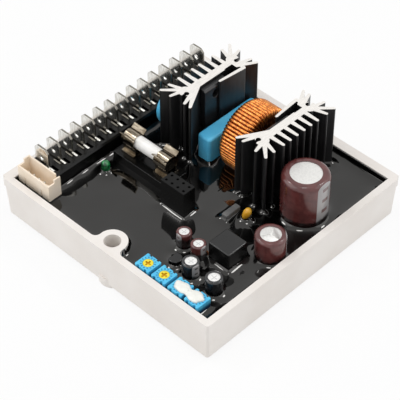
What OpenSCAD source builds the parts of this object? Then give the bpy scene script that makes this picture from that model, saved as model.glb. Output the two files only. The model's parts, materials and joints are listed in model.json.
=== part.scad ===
// Automatic voltage regulator: a board potted in black resin inside an open ivory tray.
// Two clip heatsinks face each other over a choke and a film capacitor, and a row of tab
// terminals stands along the back. +Y points to the terminals, +Z is up, and the origin is
// the centre of the bounding box at the level of the mounting feet.

/* [Tray] */
// Outside width of the tray along X, at the rim
tray_w = 88.8; // [80:0.1:110]
// Outside depth of the tray along Y, at the rim
tray_d = 91.8; // [83:0.1:115]
// Height of the tray from its underside to the rim
tray_h = 15.2; // [14:0.1:22]
// Thickness of the walls at the rim
wall_t = 2.45; // [1.8:0.05:2.6]
// Thickness of the floor
floor_t = 2.2; // [1.5:0.1:3]
// How far each outer wall leans in at the bottom
wall_draft = 0.65; // [0.2:0.05:1]
// Radius of the outer corners
corner_r = 0.9; // [0.4:0.1:2]
// Height of the lip along the back and right walls
lip_h = 4.6; // [2:0.1:8]
// How far that lip stands out
lip_t = 1; // [0.4:0.1:2]

/* [Mounting bosses] */
// Outside diameter of a boss
boss_d = 10; // [8:0.1:11]
// Diameter of the screw hole through a boss
boss_bore = 5.6; // [4.2:0.1:6.5]
// How far the foot of a boss stands below the tray
boss_foot = 1.1; // [0.4:0.1:3]
// Radius of the fillets between a boss and its wall
boss_fillet = 2; // [0.5:0.1:3]

/* [Board and resin] */
// Thickness of the circuit board
board_t = 1.6; // [1:0.1:2.4]
// Height of the posts under the board
board_lift = 3.9; // [2:0.1:6]
// Gap between the board's edge and the walls
board_gap = 0.6; // [0.3:0.1:2]
// Diameter of the posts under the board
post_d = 6; // [3:0.5:8]
// Depth of the resin's surface below the rim
resin_drop = 3.3; // [1:0.1:5]
// Gap where two fixed pieces fit together
fit_gap = 0.05; // [0.02:0.01:0.1]

/* [Terminals] */
// Number of terminals in the row, where the tray has room for them
terminal_most = 15; // [3:1:15]
// Distance from one terminal to the next
terminal_pitch = 5.08; // [4.8:0.01:5.15]
// Width of a tab
tab_w = 6.3; // [4.8:0.1:6.6]
// Thickness of a tab
tab_t = 0.8; // [0.5:0.05:1]
// Length of a tab above its shoulder
tab_l = 7.1; // [6:0.1:10]
// Diameter of the hole in a tab
tab_hole_d = 1.8; // [1:0.1:2.2]
// Distance from the tip of a tab to its hole
tab_hole_drop = 4.4; // [3:0.1:5]
// Length of the shoulder in front of a tab
shoulder_l = 2.1; // [1:0.1:2.4]
// Height of the terminal block above the board
block_h = 10.6; // [8:0.1:13]
// Depth of the terminal block from front to back
block_d = 11.5; // [11:0.1:13]

/* [Connector] */
// Width of the header across its row of pins
con_w = 5.2; // [4.6:0.1:5.3]
// Length of the header along its row of pins
con_l = 14.9; // [13:0.1:17]
// Height of the header's low wall above the board
con_h = 11.9; // [9:0.1:13]
// Height of the header's guide wall above the board
con_guide_h = 13.3; // [11:0.1:15]
// Number of pins in the header
pin_count = 5; // [2:1:5]
// Distance from one pin to the next
pin_pitch = 2.5; // [2:0.01:2.6]

/* [Heatsinks] */
// Length of the extrusion, which is the heatsink's height on the board
hs_h = 28; // [20:0.5:40]
// Space left between the choke and the front heatsink's spring
choke_room = 2.95; // [1:0.05:8]
// Thickness of the web
hs_web_t = 2.8; // [2:0.1:3.2]
// Reach of the fins from the mounting face
hs_reach = 8.3; // [7:0.1:8.6]
// Thickness of a device that the clip holds
device_t = 2.2; // [1.6:0.1:2.6]
// Width of a device
device_w = 10.2; // [8:0.1:10.6]
// Height of a device
device_h = 15.9; // [12:0.1:17]

/* [Choke] */
// Outside radius of the wound choke
choke_r = 12.5; // [11:0.1:12.8]
// Radius of the hole through the wound choke
choke_hole_r = 4.1; // [3:0.1:5]
// Width of the wound choke along its axis
choke_w = 10.8; // [9:0.1:11.4]
// Thickness of the winding on the core
winding_t = 0.9; // [0.7:0.05:1.3]
// Number of turns
turn_count = 60; // [40:2:90]

/* [Capacitors] */
// Diameter of the bulk capacitor
bulk_d = 15.8; // [12:0.1:16.2]
// Height of the bulk capacitor
bulk_h = 21.8; // [14:0.1:30]
// Diameter of the smoothing capacitor
smooth_d = 10.2; // [8:0.1:11]
// Height of the smoothing capacitor
smooth_h = 13.8; // [10:0.1:20]
// Diameter of the two small capacitors on the inner side
small_d = 5; // [4:0.1:5.3]
// Diameter of the two small capacitors beside the trimmers
signal_d = 5.8; // [4:0.1:6.2]
// Height of the small capacitors
small_h = 10.9; // [8:0.1:13]
// Thickness of a capacitor's sleeve
sleeve_t = 0.2; // [0.15:0.05:0.3]
// Length of the film capacitor
film_l = 26; // [20:0.1:27]
// Thickness of the film capacitor
film_w = 5.8; // [4:0.1:6]
// Height of the film capacitor
film_h = 14.7; // [10:0.1:18]

/* [Trimmers] */
// Side of a trimmer's square body
trim_w = 5.9; // [5:0.1:6.5]
// Height of a trimmer's body
trim_h = 8.1; // [6:0.1:10]
// Distance from one trimmer to the next
trim_pitch = 7; // [6.7:0.1:7.3]
// Diameter of a trimmer's rotor
rotor_d = 3.3; // [2.5:0.1:4]
// Height of a rotor
rotor_h = 1.2; // [0.9:0.1:2]
// Gap around a rotor
rotor_gap = 0.1; // [0.05:0.01:0.2]

/* [Fuse and socket] */
// Length of the fuse
fuse_l = 20; // [18:0.5:22]
// Diameter of the fuse over its caps
fuse_d = 5.2; // [4:0.1:5.4]
// Length of a fuse cap
fuse_cap_l = 5; // [4:0.1:6]
// Height of the fuse holder's base above the board
holder_h = 7.5; // [5:0.1:9]
// Height of the fuse's axis above the holder's base
fuse_lift = 5.2; // [4.6:0.1:6.5]
// Thickness of the clip's spring sheet
clip_t = 0.4; // [0.3:0.05:0.6]
// Positions along the pin socket
socket_count = 4; // [2:1:4]
// Pitch of the pin socket
socket_pitch = 2.54; // [2:0.01:2.6]
// Height of the pin socket above the board
socket_h = 15.1; // [8:0.1:17]

/* [Hidden] */
$fn = 48;

// Levels, from the mounting feet upwards
z_floor = boss_foot + floor_t;
z_rim = boss_foot + tray_h;
z_board = z_floor + board_lift + board_t;
z_resin = z_rim - resin_drop;

// Plan of the tray; the lips make the bounding box lean to +X and +Y
tray_x = -lip_t / 2;
tray_y = -lip_t / 2;
left_x = tray_x - tray_w / 2;
right_x = tray_x + tray_w / 2;
front_y = tray_y - tray_d / 2;
back_y = tray_y + tray_d / 2;
inner_w = tray_w - 2 * wall_t;
inner_d = tray_d - 2 * wall_t;
inner_left = left_x + wall_t;
inner_right = right_x - wall_t;
inner_front = front_y + wall_t;
inner_back = back_y - wall_t;
boss_r = boss_d / 2;
post_inset = 9;

// Connector, held in the corner by the left and back walls
con_side_gap = 1.75;
con_end_gap = 0.3;
con_wall_t = 0.6;
con_floor_h = 6;
con_x = inner_left + con_side_gap;
con_y = inner_back - con_end_gap - con_l;
con_slot_w = 0.5;
con_notch_w = 1.3;
con_notch_depth = 1.7;
con_slot_h = 8.4;
con_slot_places = [0.22, 0.75];
pin_side = 0.64;
pin_rise = 3.4;
pin_h = con_floor_h + pin_rise;

// Terminal block and its blades
block_gap = 0.2;
block_x = con_x + con_w + block_gap;
block_y = inner_back - 2 * block_gap - block_d;
block_end = 1.65;
block_far_end = 2.6;
block_room = inner_right - block_gap - block_x - block_end - block_far_end;
terminal_count = min(terminal_most, floor(block_room / terminal_pitch) + 1);
block_l = block_end + (terminal_count - 1) * terminal_pitch + block_far_end;
block_chamfer = 0.6;
tab_back = 1.1;
tab_chamfer = 1.3;
tab_y1 = block_d - tab_back;
tab_y0 = tab_y1 - tab_w;
shoulder_rise = 0.3;
shoulder_h = block_h + shoulder_rise;
tip_h = shoulder_h + tab_l;
leg_t = 0.6;
leg_x = -1.2;
leg_l = 3.2;
leg_y = tab_y0 - shoulder_l / 2;
foot_t = 0.8;
recess_w = 1;
recess_l = 3.2;
recess_x = 0.85;
recess_depth = 1.5;

// Electrolytic capacitors: the sleeve rolls over the shoulder and leaves the top bare
small_sizes = [small_d, small_d, signal_d, signal_d];
bare_top = 0.66;
shoulder_share = 0.11;
vent_w = 0.35;
vent_depth = 0.15;

// Fuse holder
holder_w = 10;
holder_l = fuse_l + 5;
holder_r = 0.8;
trough_w = 4;
trough_depth = 1;
trough_inset = 1;
clip_overlap = 0.6;
clip_stand_out = 0.2;
clip_l = fuse_cap_l + clip_overlap;
clip_y = fuse_l / 2 - clip_l / 2 + clip_stand_out;
clip_foot_w = 6;
clip_foot_t = 0.6;
clip_stem_x = 1.9;
clip_stem_share = 0.7;
clip_wrap = 48;
clip_flare = 0.3;
fuse_z = holder_h + fuse_lift;
cap_t = 0.25;

// Trimmers, beside the left wall
trim_side_gap = 0.4;
trim_first_y = 9.9;
trim_r = 0.4;
trim_x = inner_left + trim_side_gap + trim_w / 2;
notch_w = 0.9;
notch_depth = 0.45;
notch_y = 1.5;
rotor_drop = 0.1;
rotor_slot_l = 2.2;
rotor_slot_w = 0.65;
rotor_slot_depth = 0.6;
painted = [0, 1];
paint_r = 2.8;
paint_h = 0.9;
paint_bridge_r = 1.1;

// Heatsink section: u runs along the web, v runs from the mounting face to the fins
fin_root_w = 1.7;
fin_tip_w = 1;
fin_places = [1.65, 4.85, 8];
web_half = 9;
hub = [-11.1, 1.7];
hub_r = 2.3;
groove = [-11.65, 0.6];
groove_r = 0.85;
groove_slot_w = 1.1;
wing_root = [-6.7, 1.1];
wing_tip = [-15.6, -4.85];
wing_root_w = 2.6;
prong_root = [-10.8, -0.75];
prong_tip = [-15.5, -2.3];
star_root = hub + [0.3, 0.6];
star_tip_u = [-16, -16.1, -12.4];
star_tip_v = 3.55;
device_u = -0.9;
clip_tip_w = 0.9;
clip_tip_u = 0.4;
clip_tip_v = -(device_t + fit_gap + clip_tip_w / 2);
clip_rise = [10.7, -3.6];
clip_root = [11.2, -1.6];
clip_root_w = 1.3;
clip_recess_u = 5.6;
clip_recess_l = 3.6;
clip_recess_depth = 0.35;

// Clip-held devices
device_top = hs_h - 1.2;
device_hole_d = 3.2;
device_hole_drop = 3.4;
device_chamfer = 0.7;
lead_w = 0.8;
lead_t = 0.5;
lead_pitch = 2.54;

// Choke: a core with cut corners inside one layer of turns
core_r = choke_r - winding_t;
core_hole_r = choke_hole_r + winding_t;
core_w = choke_w - 2 * winding_t;
core_gap = 0.1;
core_chamfer = 1.5;
turn_depth = 0.3;
turn_corner_r = 2.4;
corner_steps = 3;

// Small parts
led_d = 3;
led_flange_d = 3.8;
led_flange_h = 1;
led_bottom = 3.3;
led_h = 5.3;
wire_d = 0.6;
inductor_size = [8.5, 8.7, 11.6];
inductor_r = 0.5;
inductor_top_r = 0.4;
network_size = [6.6, 2.3, 6.7];
network_r = 0.4;
network_top_r = 0.35;
drop_d = 4;
drop_h = 4.8;
drop_bottom = 3.8;
drop_taper = 0.18;
transistor_d = 4.6;
transistor_flat = 1.3;
transistor_h = 6.7;
varistor_d = 14;
varistor_t = 4.2;
varistor_lift = 4.8;
varistor_wire_d = 0.8;
varistor_wire_pitch = 7.5;
film_r = 1.2;
film_top_r = 0.9;
socket_w = 2 * socket_pitch;
socket_l = socket_count * socket_pitch;
socket_hole_d = 0.9;
socket_hole_depth = 4;

// Layout: the free places spread with the tray, as shares of its width and depth from the middle
function spread(share) = [tray_x + share.x * tray_w, tray_y + share.y * tray_d];
led_at = spread([-0.1881, 0.2952]);
smooth_at = spread([-0.0845, -0.4052]);
small_shares = [[-0.2613, -0.1667], [-0.268, -0.2407], [-0.3457, -0.2789], [-0.3446, -0.3845]];
small_at = [for (share = small_shares) spread(share)];
inductor_at = spread([-0.1982, -0.3126]);
network_at = spread([-0.0349, -0.1786]);
drop_at = spread([-0.009, -0.2277]);
transistor_at = spread([-0.3401, -0.2004]);

// The fuse stands off the terminal block, and the socket stands off the fuse
fuse_gap = 1.45;
socket_gap = 2.02;
fuse_at = [spread([-0.0653, 0]).x, block_y - fuse_gap - holder_l / 2];
socket_at = [spread([-0.1408, 0]).x, fuse_at.y - holder_l / 2 - socket_gap - socket_l / 2];

// Down the right side stand the varistor, the rear heatsink, the film capacitor, the choke, the
// front heatsink and the bulk capacitor; the gaps between them share the depth that is left
spring_v = -clip_rise.y + clip_root_w / 2;
column_gaps = [1.3, 2.6, 0.45, 1.7, choke_room, 0.9, 3.35];
column_parts = [varistor_t, hs_reach + spring_v, film_w, choke_w, hs_reach + spring_v, bulk_d];
function total(list, count) = count == 0 ? 0 : list[count - 1] + total(list, count - 1);
column_free = block_y - inner_front - total(column_parts, len(column_parts));
gap_share = column_free / total(column_gaps, len(column_gaps));
function column_top(i) = block_y - total(column_parts, i) - gap_share * total(column_gaps, i + 1);
heatsink_x = spread([0.2393, 0]).x;
varistor_at = [spread([0.1757, 0]).x, column_top(0) - varistor_t / 2];
rear_face_y = column_top(1) - hs_reach;
film_at = [spread([0.2455, 0]).x, column_top(2) - film_w / 2];
choke_boss_gap = 0.64;
choke_half = sqrt(pow(choke_r, 2) - pow(choke_r - z_rim + z_board, 2));
choke_at = [right_x - boss_d - choke_boss_gap - choke_half, column_top(3) - choke_w / 2];
front_face_y = column_top(4) - spring_v;
bulk_at = [spread([0.1565, 0]).x, column_top(5) - bulk_d / 2];

// Colours
IVORY = "#efe9de";
RESIN = "#141414";
BOARD = "#1f6b3a";
BLACK = "#1c1c1d";
TIN = "#c9c8c4";
CREAM = "#ecdcc3";
NICKEL = "#b9b4aa";
WHITE = "#f4f2ee";
ALUMINIUM = "#dfe1e2";
ANODISED = "#232424";
BLUE = "#4fa8d8";
COPPER = "#c98746";
MAROON = "#6d3b3f";
YELLOW = "#f1dd55";
GREEN = "#2f8f5b";
AMBER = "#d6a93a";
FERRITE = "#4b4a4a";

terminal_names = [for (i = [1:terminal_count]) str("terminal_", i)];

// Places its children on the board
module on_board(at) translate([at.x, at.y, z_board]) children();

// A rectangle centred on the origin with round corners
module round_rect(size, r) {
    square([size.x - 2 * r, size.y], center = true);
    square([size.x, size.y - 2 * r], center = true);
    for (x = [-1, 1], y = [-1, 1])
        translate([x * (size.x / 2 - r), y * (size.y / 2 - r)]) circle(r);
}

// An upright block with round corners and a rounded top edge
module soft_block(size, r, top_r) {
    steps = 3;
    hull()
        for (i = [0:steps]) {
            a = 90 * i / steps;
            inset = top_r * (1 - cos(a));
            linear_extrude(size.z - top_r + top_r * sin(a))
                round_rect([size.x - 2 * inset, size.y - 2 * inset], r, $fn = 32);
        }
}

// A flat bar that tapers from one point to another and ends round
module taper(from, to, root_w, tip_w) {
    along = (to - from) / norm(to - from);
    side = [-along.y, along.x];
    steps = 8;
    polygon(concat(
        [from + side * root_w / 2, from - side * root_w / 2],
        [
            for (i = [0:steps])
                let (a = 180 * i / steps - 90)
                to + (along * cos(a) + side * sin(a)) * tip_w / 2
        ]
    ));
}

// Plan of the wall at a boss: the boss, with fillets that run into the wall
module boss_plan(grow = 0) {
    fillet_x = wall_t + boss_fillet;
    fillet_y = sqrt(pow(boss_r + boss_fillet, 2) - pow(fillet_x - boss_r, 2));
    translate([boss_r, 0]) circle(boss_r + grow);
    difference() {
        translate([wall_t / 2, -fillet_y]) square([fillet_x - wall_t / 2, 2 * fillet_y]);
        for (s = [-1, 1])
            translate([fillet_x, s * fillet_y]) circle(boss_fillet - grow);
    }
}

// Repeats its children on the left wall and, turned round, on the right wall
module at_bosses() {
    translate([left_x, tray_y]) children();
    translate([right_x, tray_y]) rotate(180) children();
}

// Four posts that carry the board
module posts(d) {
    for (x = [-1, 1], y = [-1, 1])
        translate([tray_x, tray_y, z_floor])
            translate([x * (inner_w / 2 - post_inset), y * (inner_d / 2 - post_inset), 0])
                cylinder(d = d, h = board_lift);
}

module tray() color(IVORY) {
    bottom = [tray_w - 2 * wall_draft, tray_d - 2 * wall_draft];
    sheet = 0.01;
    difference() {
        union() {
            translate([tray_x, tray_y, 0]) hull() {
                translate([0, 0, boss_foot])
                    linear_extrude(sheet) round_rect(bottom, corner_r, $fn = 32);
                translate([0, 0, z_rim - sheet])
                    linear_extrude(sheet) round_rect([tray_w, tray_d], corner_r, $fn = 32);
            }
            translate([left_x + corner_r, back_y - wall_t / 2, z_rim - lip_h])
                cube([tray_w - corner_r + lip_t, wall_t / 2 + lip_t, lip_h]);
            translate([right_x - wall_t / 2, front_y + corner_r, z_rim - lip_h])
                cube([wall_t / 2 + lip_t, tray_d - corner_r + lip_t, lip_h]);
            linear_extrude(z_floor) at_bosses() translate([boss_r, 0]) circle(boss_r);
        }
        difference() {
            translate([left_x + wall_t, front_y + wall_t, z_floor]) cube([inner_w, inner_d, tray_h]);
            linear_extrude(z_rim) at_bosses() boss_plan();
            posts(post_d);
        }
        at_bosses() translate([boss_r, 0, -1]) cylinder(d = boss_bore, h = z_rim + 2);
    }
}

// Outline of the board, cut away round the bosses
module board_plan() difference() {
    translate([tray_x, tray_y])
        square([inner_w - 2 * board_gap, inner_d - 2 * board_gap], center = true);
    at_bosses() boss_plan(board_gap);
}

module circuit_board() color(BOARD)
    translate([0, 0, z_floor + board_lift]) linear_extrude(board_t) board_plan();

// Resin round the board and every part that stands in it
module potting() color(RESIN) {
    difference() {
        translate([0, 0, z_floor]) linear_extrude(z_resin - z_floor) difference() {
            translate([tray_x, tray_y])
                square([inner_w - 2 * fit_gap, inner_d - 2 * fit_gap], center = true);
            at_bosses() boss_plan(fit_gap);
        }
        posts(post_d + 2 * fit_gap);
        translate([0, 0, z_floor + board_lift]) linear_extrude(board_t) board_plan();
        translate([0, 0, z_board]) linear_extrude(tray_h) footprints(fit_gap);
        choke_turned() translate([0, 0, -choke_w / 2 - fit_gap])
            cylinder(r = choke_r + fit_gap, h = choke_w + 2 * fit_gap);
    }
}

// Plan of everything that rises straight from the board through the resin
module footprints(grow) {
    translate([block_x - grow, block_y - grow]) square([block_l + 2 * grow, block_d + 2 * grow]);
    translate([con_x - grow, con_y - grow]) square([con_w + 2 * grow, con_l + 2 * grow]);
    for (side = [-1, 1]) at_heatsink(side) {
        heatsink_section(grow);
        device_leads(grow);
    }
    for (i = [0:3]) {
        translate(trimmer_place(i)) square(trim_w + 2 * grow, center = true);
        plan_at(small_at[i]) circle(d = small_sizes[i] + 2 * grow);
    }
    plan_at(bulk_at) circle(d = bulk_d + 2 * grow);
    plan_at(smooth_at) circle(d = smooth_d + 2 * grow);
    plan_at(film_at) square([film_l + 2 * grow, film_w + 2 * grow], center = true);
    plan_at(fuse_at) square([holder_w + 2 * grow, holder_l + 2 * grow], center = true);
    plan_at(socket_at) square([socket_w + 2 * grow, socket_l + 2 * grow], center = true);
    plan_at(inductor_at) square([inductor_size.x + 2 * grow, inductor_size.y + 2 * grow], center = true);
    plan_at(network_at) square([network_size.x + 2 * grow, network_size.y + 2 * grow], center = true);
    plan_at(transistor_at) circle(d = transistor_d + 2 * grow);
    plan_at(led_at) circle(d = led_flange_d + 2 * grow);
    plan_at(drop_at) circle(d = drop_d + 2 * grow);
    plan_at(varistor_at)
        for (s = [-1, 1])
            translate([s * varistor_wire_pitch / 2, 0]) circle(d = varistor_wire_d + 2 * grow, $fn = 24);
}

module plan_at(at) translate(at) children();

// Side view of one terminal, with Y to the right and Z up
module blade_outline() {
    difference() {
        union() {
            translate([tab_y0 - shoulder_l, 0]) square([tab_w + shoulder_l, shoulder_h]);
            polygon([
                [tab_y0, shoulder_h - 1],
                [tab_y1, shoulder_h - 1],
                [tab_y1, tip_h - tab_chamfer],
                [tab_y1 - tab_chamfer, tip_h],
                [tab_y0 + tab_chamfer, tip_h],
                [tab_y0, tip_h - tab_chamfer]
            ]);
        }
        translate([(tab_y0 + tab_y1) / 2, tip_h - tab_hole_drop]) circle(d = tab_hole_d);
    }
}

function terminal_x(i) = block_x + block_end + i * terminal_pitch;

// A tab, its shoulder, and the short leg that the strip is folded back into
module terminal(i) color(TIN) translate([terminal_x(i), block_y, z_board]) {
    translate([-tab_t / 2, 0, 0]) rotate([90, 0, 90]) linear_extrude(tab_t) blade_outline();
    translate([leg_x - leg_t / 2, leg_y, 0]) cube([leg_t, leg_l, shoulder_h]);
    translate([leg_x - leg_t / 2, leg_y, 0]) cube([-leg_x, leg_l, foot_t]);
}

module terminal_block() color(BLACK) difference() {
    translate([block_x, block_y, z_board]) rotate([90, 0, 90]) linear_extrude(block_l) polygon([
        [0, 0],
        [block_d, 0],
        [block_d, block_h],
        [block_chamfer, block_h],
        [0, block_h - block_chamfer]
    ]);
    for (i = [0:terminal_count - 1]) translate([terminal_x(i), block_y, z_board - 1]) {
        translate([-tab_t / 2 - fit_gap, tab_y0 - shoulder_l - fit_gap, 0])
            cube([tab_t + 2 * fit_gap, tab_w + shoulder_l + 2 * fit_gap, block_h + 2]);
        translate([leg_x - leg_t / 2 - fit_gap, leg_y - fit_gap, 0])
            cube([-leg_x, leg_l + 2 * fit_gap, block_h + 2]);
        translate([recess_x, leg_y - recess_l / 2, block_h + 1 - recess_depth])
            cube([recess_w, recess_l, recess_depth + 1]);
    }
}

// Shrouded header with a low wall towards the tray and a guide wall inside
module connector_housing() color(CREAM) translate([con_x, con_y, z_board]) difference() {
    union() {
        cube([con_w, con_l, con_h]);
        translate([con_w - con_wall_t, 0, 0]) cube([con_wall_t, con_l, con_guide_h]);
        for (y = [0, con_l - con_wall_t])
            translate([con_w / 2, y, 0]) cube([con_w / 2, con_wall_t, con_guide_h]);
    }
    translate([con_wall_t, con_wall_t, con_floor_h])
        cube([con_w - 2 * con_wall_t, con_l - 2 * con_wall_t, con_guide_h]);
    for (place = con_slot_places)
        translate([-1, con_l * (1 - place) - con_slot_w / 2, -1])
            cube([1 + con_wall_t / 2, con_slot_w, con_slot_h + 1]);
    translate([con_w - con_wall_t - 1, con_wall_t, con_guide_h - con_notch_depth])
        cube([con_wall_t + 2, con_notch_w, con_notch_depth + 1]);
    connector_pin_posts(fit_gap);
}

module connector_pin_posts(grow) {
    first = con_l / 2 - (pin_count - 1) * pin_pitch / 2;
    side = pin_side + 2 * grow;
    for (i = [0:pin_count - 1])
        translate([con_w / 2 - side / 2, first + i * pin_pitch - side / 2, -grow])
            cube([side, side, pin_h + 2 * grow]);
}

module connector_pins() color(TIN) translate([con_x, con_y, z_board]) connector_pin_posts(0);

// Base of the fuse holder, with a trough under the fuse
module fuse_holder() color(BLACK) on_board(fuse_at) difference() {
    linear_extrude(holder_h) round_rect([holder_w, holder_l], holder_r);
    translate([-trough_w / 2, -clip_y + clip_l / 2 + trough_inset, holder_h - trough_depth])
        cube([trough_w, 2 * clip_y - clip_l - 2 * trough_inset, trough_depth + 1]);
}

// Section of a fuse clip: a foot, two stems, two arms round the cap and two flared lips
module clip_section() {
    inner_r = fuse_d / 2 + fit_gap;
    outer_r = inner_r + clip_t;
    arm_top = inner_r * sin(clip_wrap);
    arm_top_x = (inner_r + outer_r) / 2 * cos(clip_wrap);
    stem_h = fuse_lift - inner_r * clip_stem_share;
    lip = [outer_r + clip_flare, fuse_lift + outer_r];
    difference() {
        union() {
            translate([-clip_foot_w / 2, 0]) square([clip_foot_w, clip_foot_t]);
            for (s = [-1, 1]) {
                translate([s * clip_stem_x - clip_t / 2, clip_foot_t / 2]) square([clip_t, stem_h]);
                taper([s * arm_top_x, fuse_lift + arm_top], [s * lip.x, lip.y], clip_t, clip_t);
            }
            translate([0, fuse_lift]) difference() {
                circle(outer_r);
                translate([-outer_r, arm_top]) square(2 * outer_r);
                translate([-clip_stem_x, -2 * outer_r]) square([2 * clip_stem_x, 2 * outer_r]);
            }
        }
        translate([0, fuse_lift]) circle(inner_r);
    }
}

module fuse_clips() color(NICKEL) on_board(fuse_at)
    for (s = [-1, 1])
        translate([0, s * clip_y + clip_l / 2, holder_h])
            rotate([90, 0, 0]) linear_extrude(clip_l) clip_section();

module fuse_tube() color(WHITE) on_board(fuse_at)
    translate([0, fuse_l / 2 - cap_t - fit_gap, fuse_z]) rotate([90, 0, 0])
        cylinder(d = fuse_d - 2 * cap_t - 2 * fit_gap, h = fuse_l - 2 * cap_t - 2 * fit_gap);

module fuse_caps() color(NICKEL) on_board(fuse_at) translate([0, 0, fuse_z])
    for (s = [0, 1]) mirror([0, s, 0]) translate([0, fuse_l / 2, 0]) rotate([90, 0, 0]) difference() {
        cylinder(d = fuse_d, h = fuse_cap_l);
        translate([0, 0, cap_t]) cylinder(d = fuse_d - 2 * cap_t, h = fuse_cap_l);
    }

module pin_socket() color(BLACK) on_board(socket_at) difference() {
    translate([-socket_w / 2, -socket_l / 2, 0]) cube([socket_w, socket_l, socket_h]);
    for (x = [-0.5, 0.5], i = [0:socket_count - 1])
        translate([x * socket_pitch, (i + 0.5) * socket_pitch - socket_l / 2, socket_h - socket_hole_depth])
            cylinder(d = socket_hole_d, h = socket_hole_depth + 1, $fn = 24);
}

// Left half of the heatsink section: half the fins, the corner star, the wing and its prong
module heatsink_half(grow) {
    root_w = fin_root_w + 2 * grow;
    tip_w = fin_tip_w + 2 * grow;
    tip_v = hs_reach - fin_tip_w / 2;
    for (u = fin_places)
        taper([-u, hs_web_t / 2], [-u, tip_v], root_w, tip_w);
    difference() {
        union() {
            translate([-web_half - grow, -grow]) square([web_half + grow, hs_web_t + 2 * grow]);
            translate(hub) circle(hub_r + grow);
            taper(wing_root, wing_tip, wing_root_w + 2 * grow, tip_w);
            taper(prong_root, prong_tip, root_w, tip_w);
        }
        translate(groove) circle(groove_r - grow);
        translate([groove.x - 2 * hub_r, groove.y - groove_slot_w / 2 + grow])
            square([2 * hub_r, groove_slot_w - 2 * grow]);
    }
    taper(star_root, [star_tip_u[0], star_tip_v], root_w, tip_w);
    taper(star_root, [star_tip_u[1], tip_v], root_w, tip_w);
    taper(star_root, [star_tip_u[2], tip_v], root_w, tip_w);
}

// Section of the extrusion, with the spring clip on its right-hand wing
module heatsink_section(grow = 0) {
    difference() {
        union() {
            heatsink_half(grow);
            mirror([1, 0]) heatsink_half(grow);
        }
        translate([clip_recess_u + grow, -hs_web_t])
            square([clip_recess_l - 2 * grow, hs_web_t + clip_recess_depth - grow]);
    }
    taper(clip_root, clip_rise, fin_root_w + 2 * grow, clip_root_w + 2 * grow);
    taper(clip_rise, [clip_tip_u, clip_tip_v], clip_root_w + 2 * grow, clip_tip_w + 2 * grow);
}

// Turns its children so that the rear heatsink's fins point back and the front one's point forward
module at_heatsink(side)
    translate([heatsink_x, side > 0 ? rear_face_y : front_face_y])
        mirror([0, (1 - side) / 2, 0]) children();

module heatsink(side) color(ANODISED)
    at_heatsink(side) translate([0, 0, z_board]) linear_extrude(hs_h) heatsink_section();

// Plan of a device's three leads, in the heatsink's own axes
module device_leads(grow) {
    for (i = [-1:1])
        translate([device_u + i * lead_pitch, -device_t / 2])
            square([lead_w + 2 * grow, lead_t + 2 * grow], center = true);
}

module power_device(side) color(BLACK)
    at_heatsink(side) translate([0, 0, z_board]) {
        bottom = device_top - device_h;
        back = -fit_gap / 2;
        face = back - device_t;
        difference() {
            translate([device_u - device_w / 2, 0, 0])
                rotate([90, 0, 90]) linear_extrude(device_w) polygon([
                [face, bottom],
                [back, bottom],
                [back, device_top],
                [face + device_chamfer, device_top],
                [face, device_top - device_chamfer]
            ]);
            translate([device_u, 1, device_top - device_hole_drop]) rotate([90, 0, 0])
                cylinder(d = device_hole_d, h = device_t + 2);
        }
        linear_extrude(bottom + device_chamfer) device_leads(0);
    }

module film_capacitor() color(BLUE) on_board(film_at)
    soft_block([film_l, film_w, film_h], film_r, film_top_r);

// A coated disc on two leads
module varistor() color(BLUE) on_board(varistor_at) {
    edge_r = varistor_t / 2;
    translate([0, 0, varistor_lift + varistor_d / 2]) rotate([90, 0, 0]) rotate_extrude() {
        translate([0, -edge_r]) square([varistor_d / 2 - edge_r, varistor_t]);
        intersection() {
            translate([varistor_d / 2 - edge_r, 0]) circle(edge_r);
            translate([0, -edge_r]) square([varistor_d, varistor_t]);
        }
    }
    for (s = [-1, 1])
        translate([s * varistor_wire_pitch / 2, 0, 0])
            cylinder(d = varistor_wire_d, h = varistor_lift + varistor_d / 4, $fn = 24);
}

// Stands its children on edge, with their axis along Y, where the choke sits
module choke_turned() on_board(choke_at)
    translate([0, 0, choke_r]) rotate([90, 0, 0]) children();

// The core's corners are cut off where the turns bend round them
module core_ring(grow) rotate_extrude($fn = 96) translate([(core_r + core_hole_r) / 2, 0]) {
    half_r = (core_r - core_hole_r) / 2 + grow;
    half_w = core_w / 2 + grow;
    inner_r = half_r - core_chamfer;
    inner_w = half_w - core_chamfer;
    polygon([
        [half_r, inner_w],
        [inner_r, half_w],
        [-inner_r, half_w],
        [-half_r, inner_w],
        [-half_r, -inner_w],
        [-inner_r, -half_w],
        [inner_r, -half_w],
        [half_r, -inner_w]
    ]);
}

module choke_core() color(FERRITE) choke_turned() core_ring(0);

// Points round the winding's section at one turn, pulled in by depth between two turns
function winding_section(depth) = [
    for (quarter = [0:3], i = [0:corner_steps])
        let (
            a = 90 * quarter + 90 * i / corner_steps,
            sx = quarter == 0 || quarter == 3 ? 1 : -1,
            sy = quarter < 2 ? 1 : -1,
            half_r = (choke_r - choke_hole_r) / 2 - depth - turn_corner_r,
            half_w = choke_w / 2 - depth - turn_corner_r
        )
        [
            (choke_r + choke_hole_r) / 2 + sx * half_r + turn_corner_r * cos(a),
            sy * half_w + turn_corner_r * sin(a)
        ]
];

// One closed skin whose ridges are the turns, hollow where the core runs
module choke_winding() color(COPPER) choke_turned() difference() {
    crest = winding_section(0);
    valley = winding_section(turn_depth);
    ring = len(crest);
    rings = 2 * turn_count;
    skin = [
        for (k = [0:rings - 1], j = [0:ring - 1])
            let (p = k % 2 == 0 ? crest[j] : valley[j], a = 360 * k / rings)
            [p.x * cos(a), p.x * sin(a), p.y]
    ];
    quads = [
        for (k = [0:rings - 1], j = [0:ring - 1])
            let (k2 = (k + 1) % rings, j2 = (j + 1) % ring)
            [k * ring + j, k * ring + j2, k2 * ring + j2, k2 * ring + j]
    ];
    polyhedron(skin, quads, convexity = 6);
    core_ring(core_gap);
}

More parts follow.
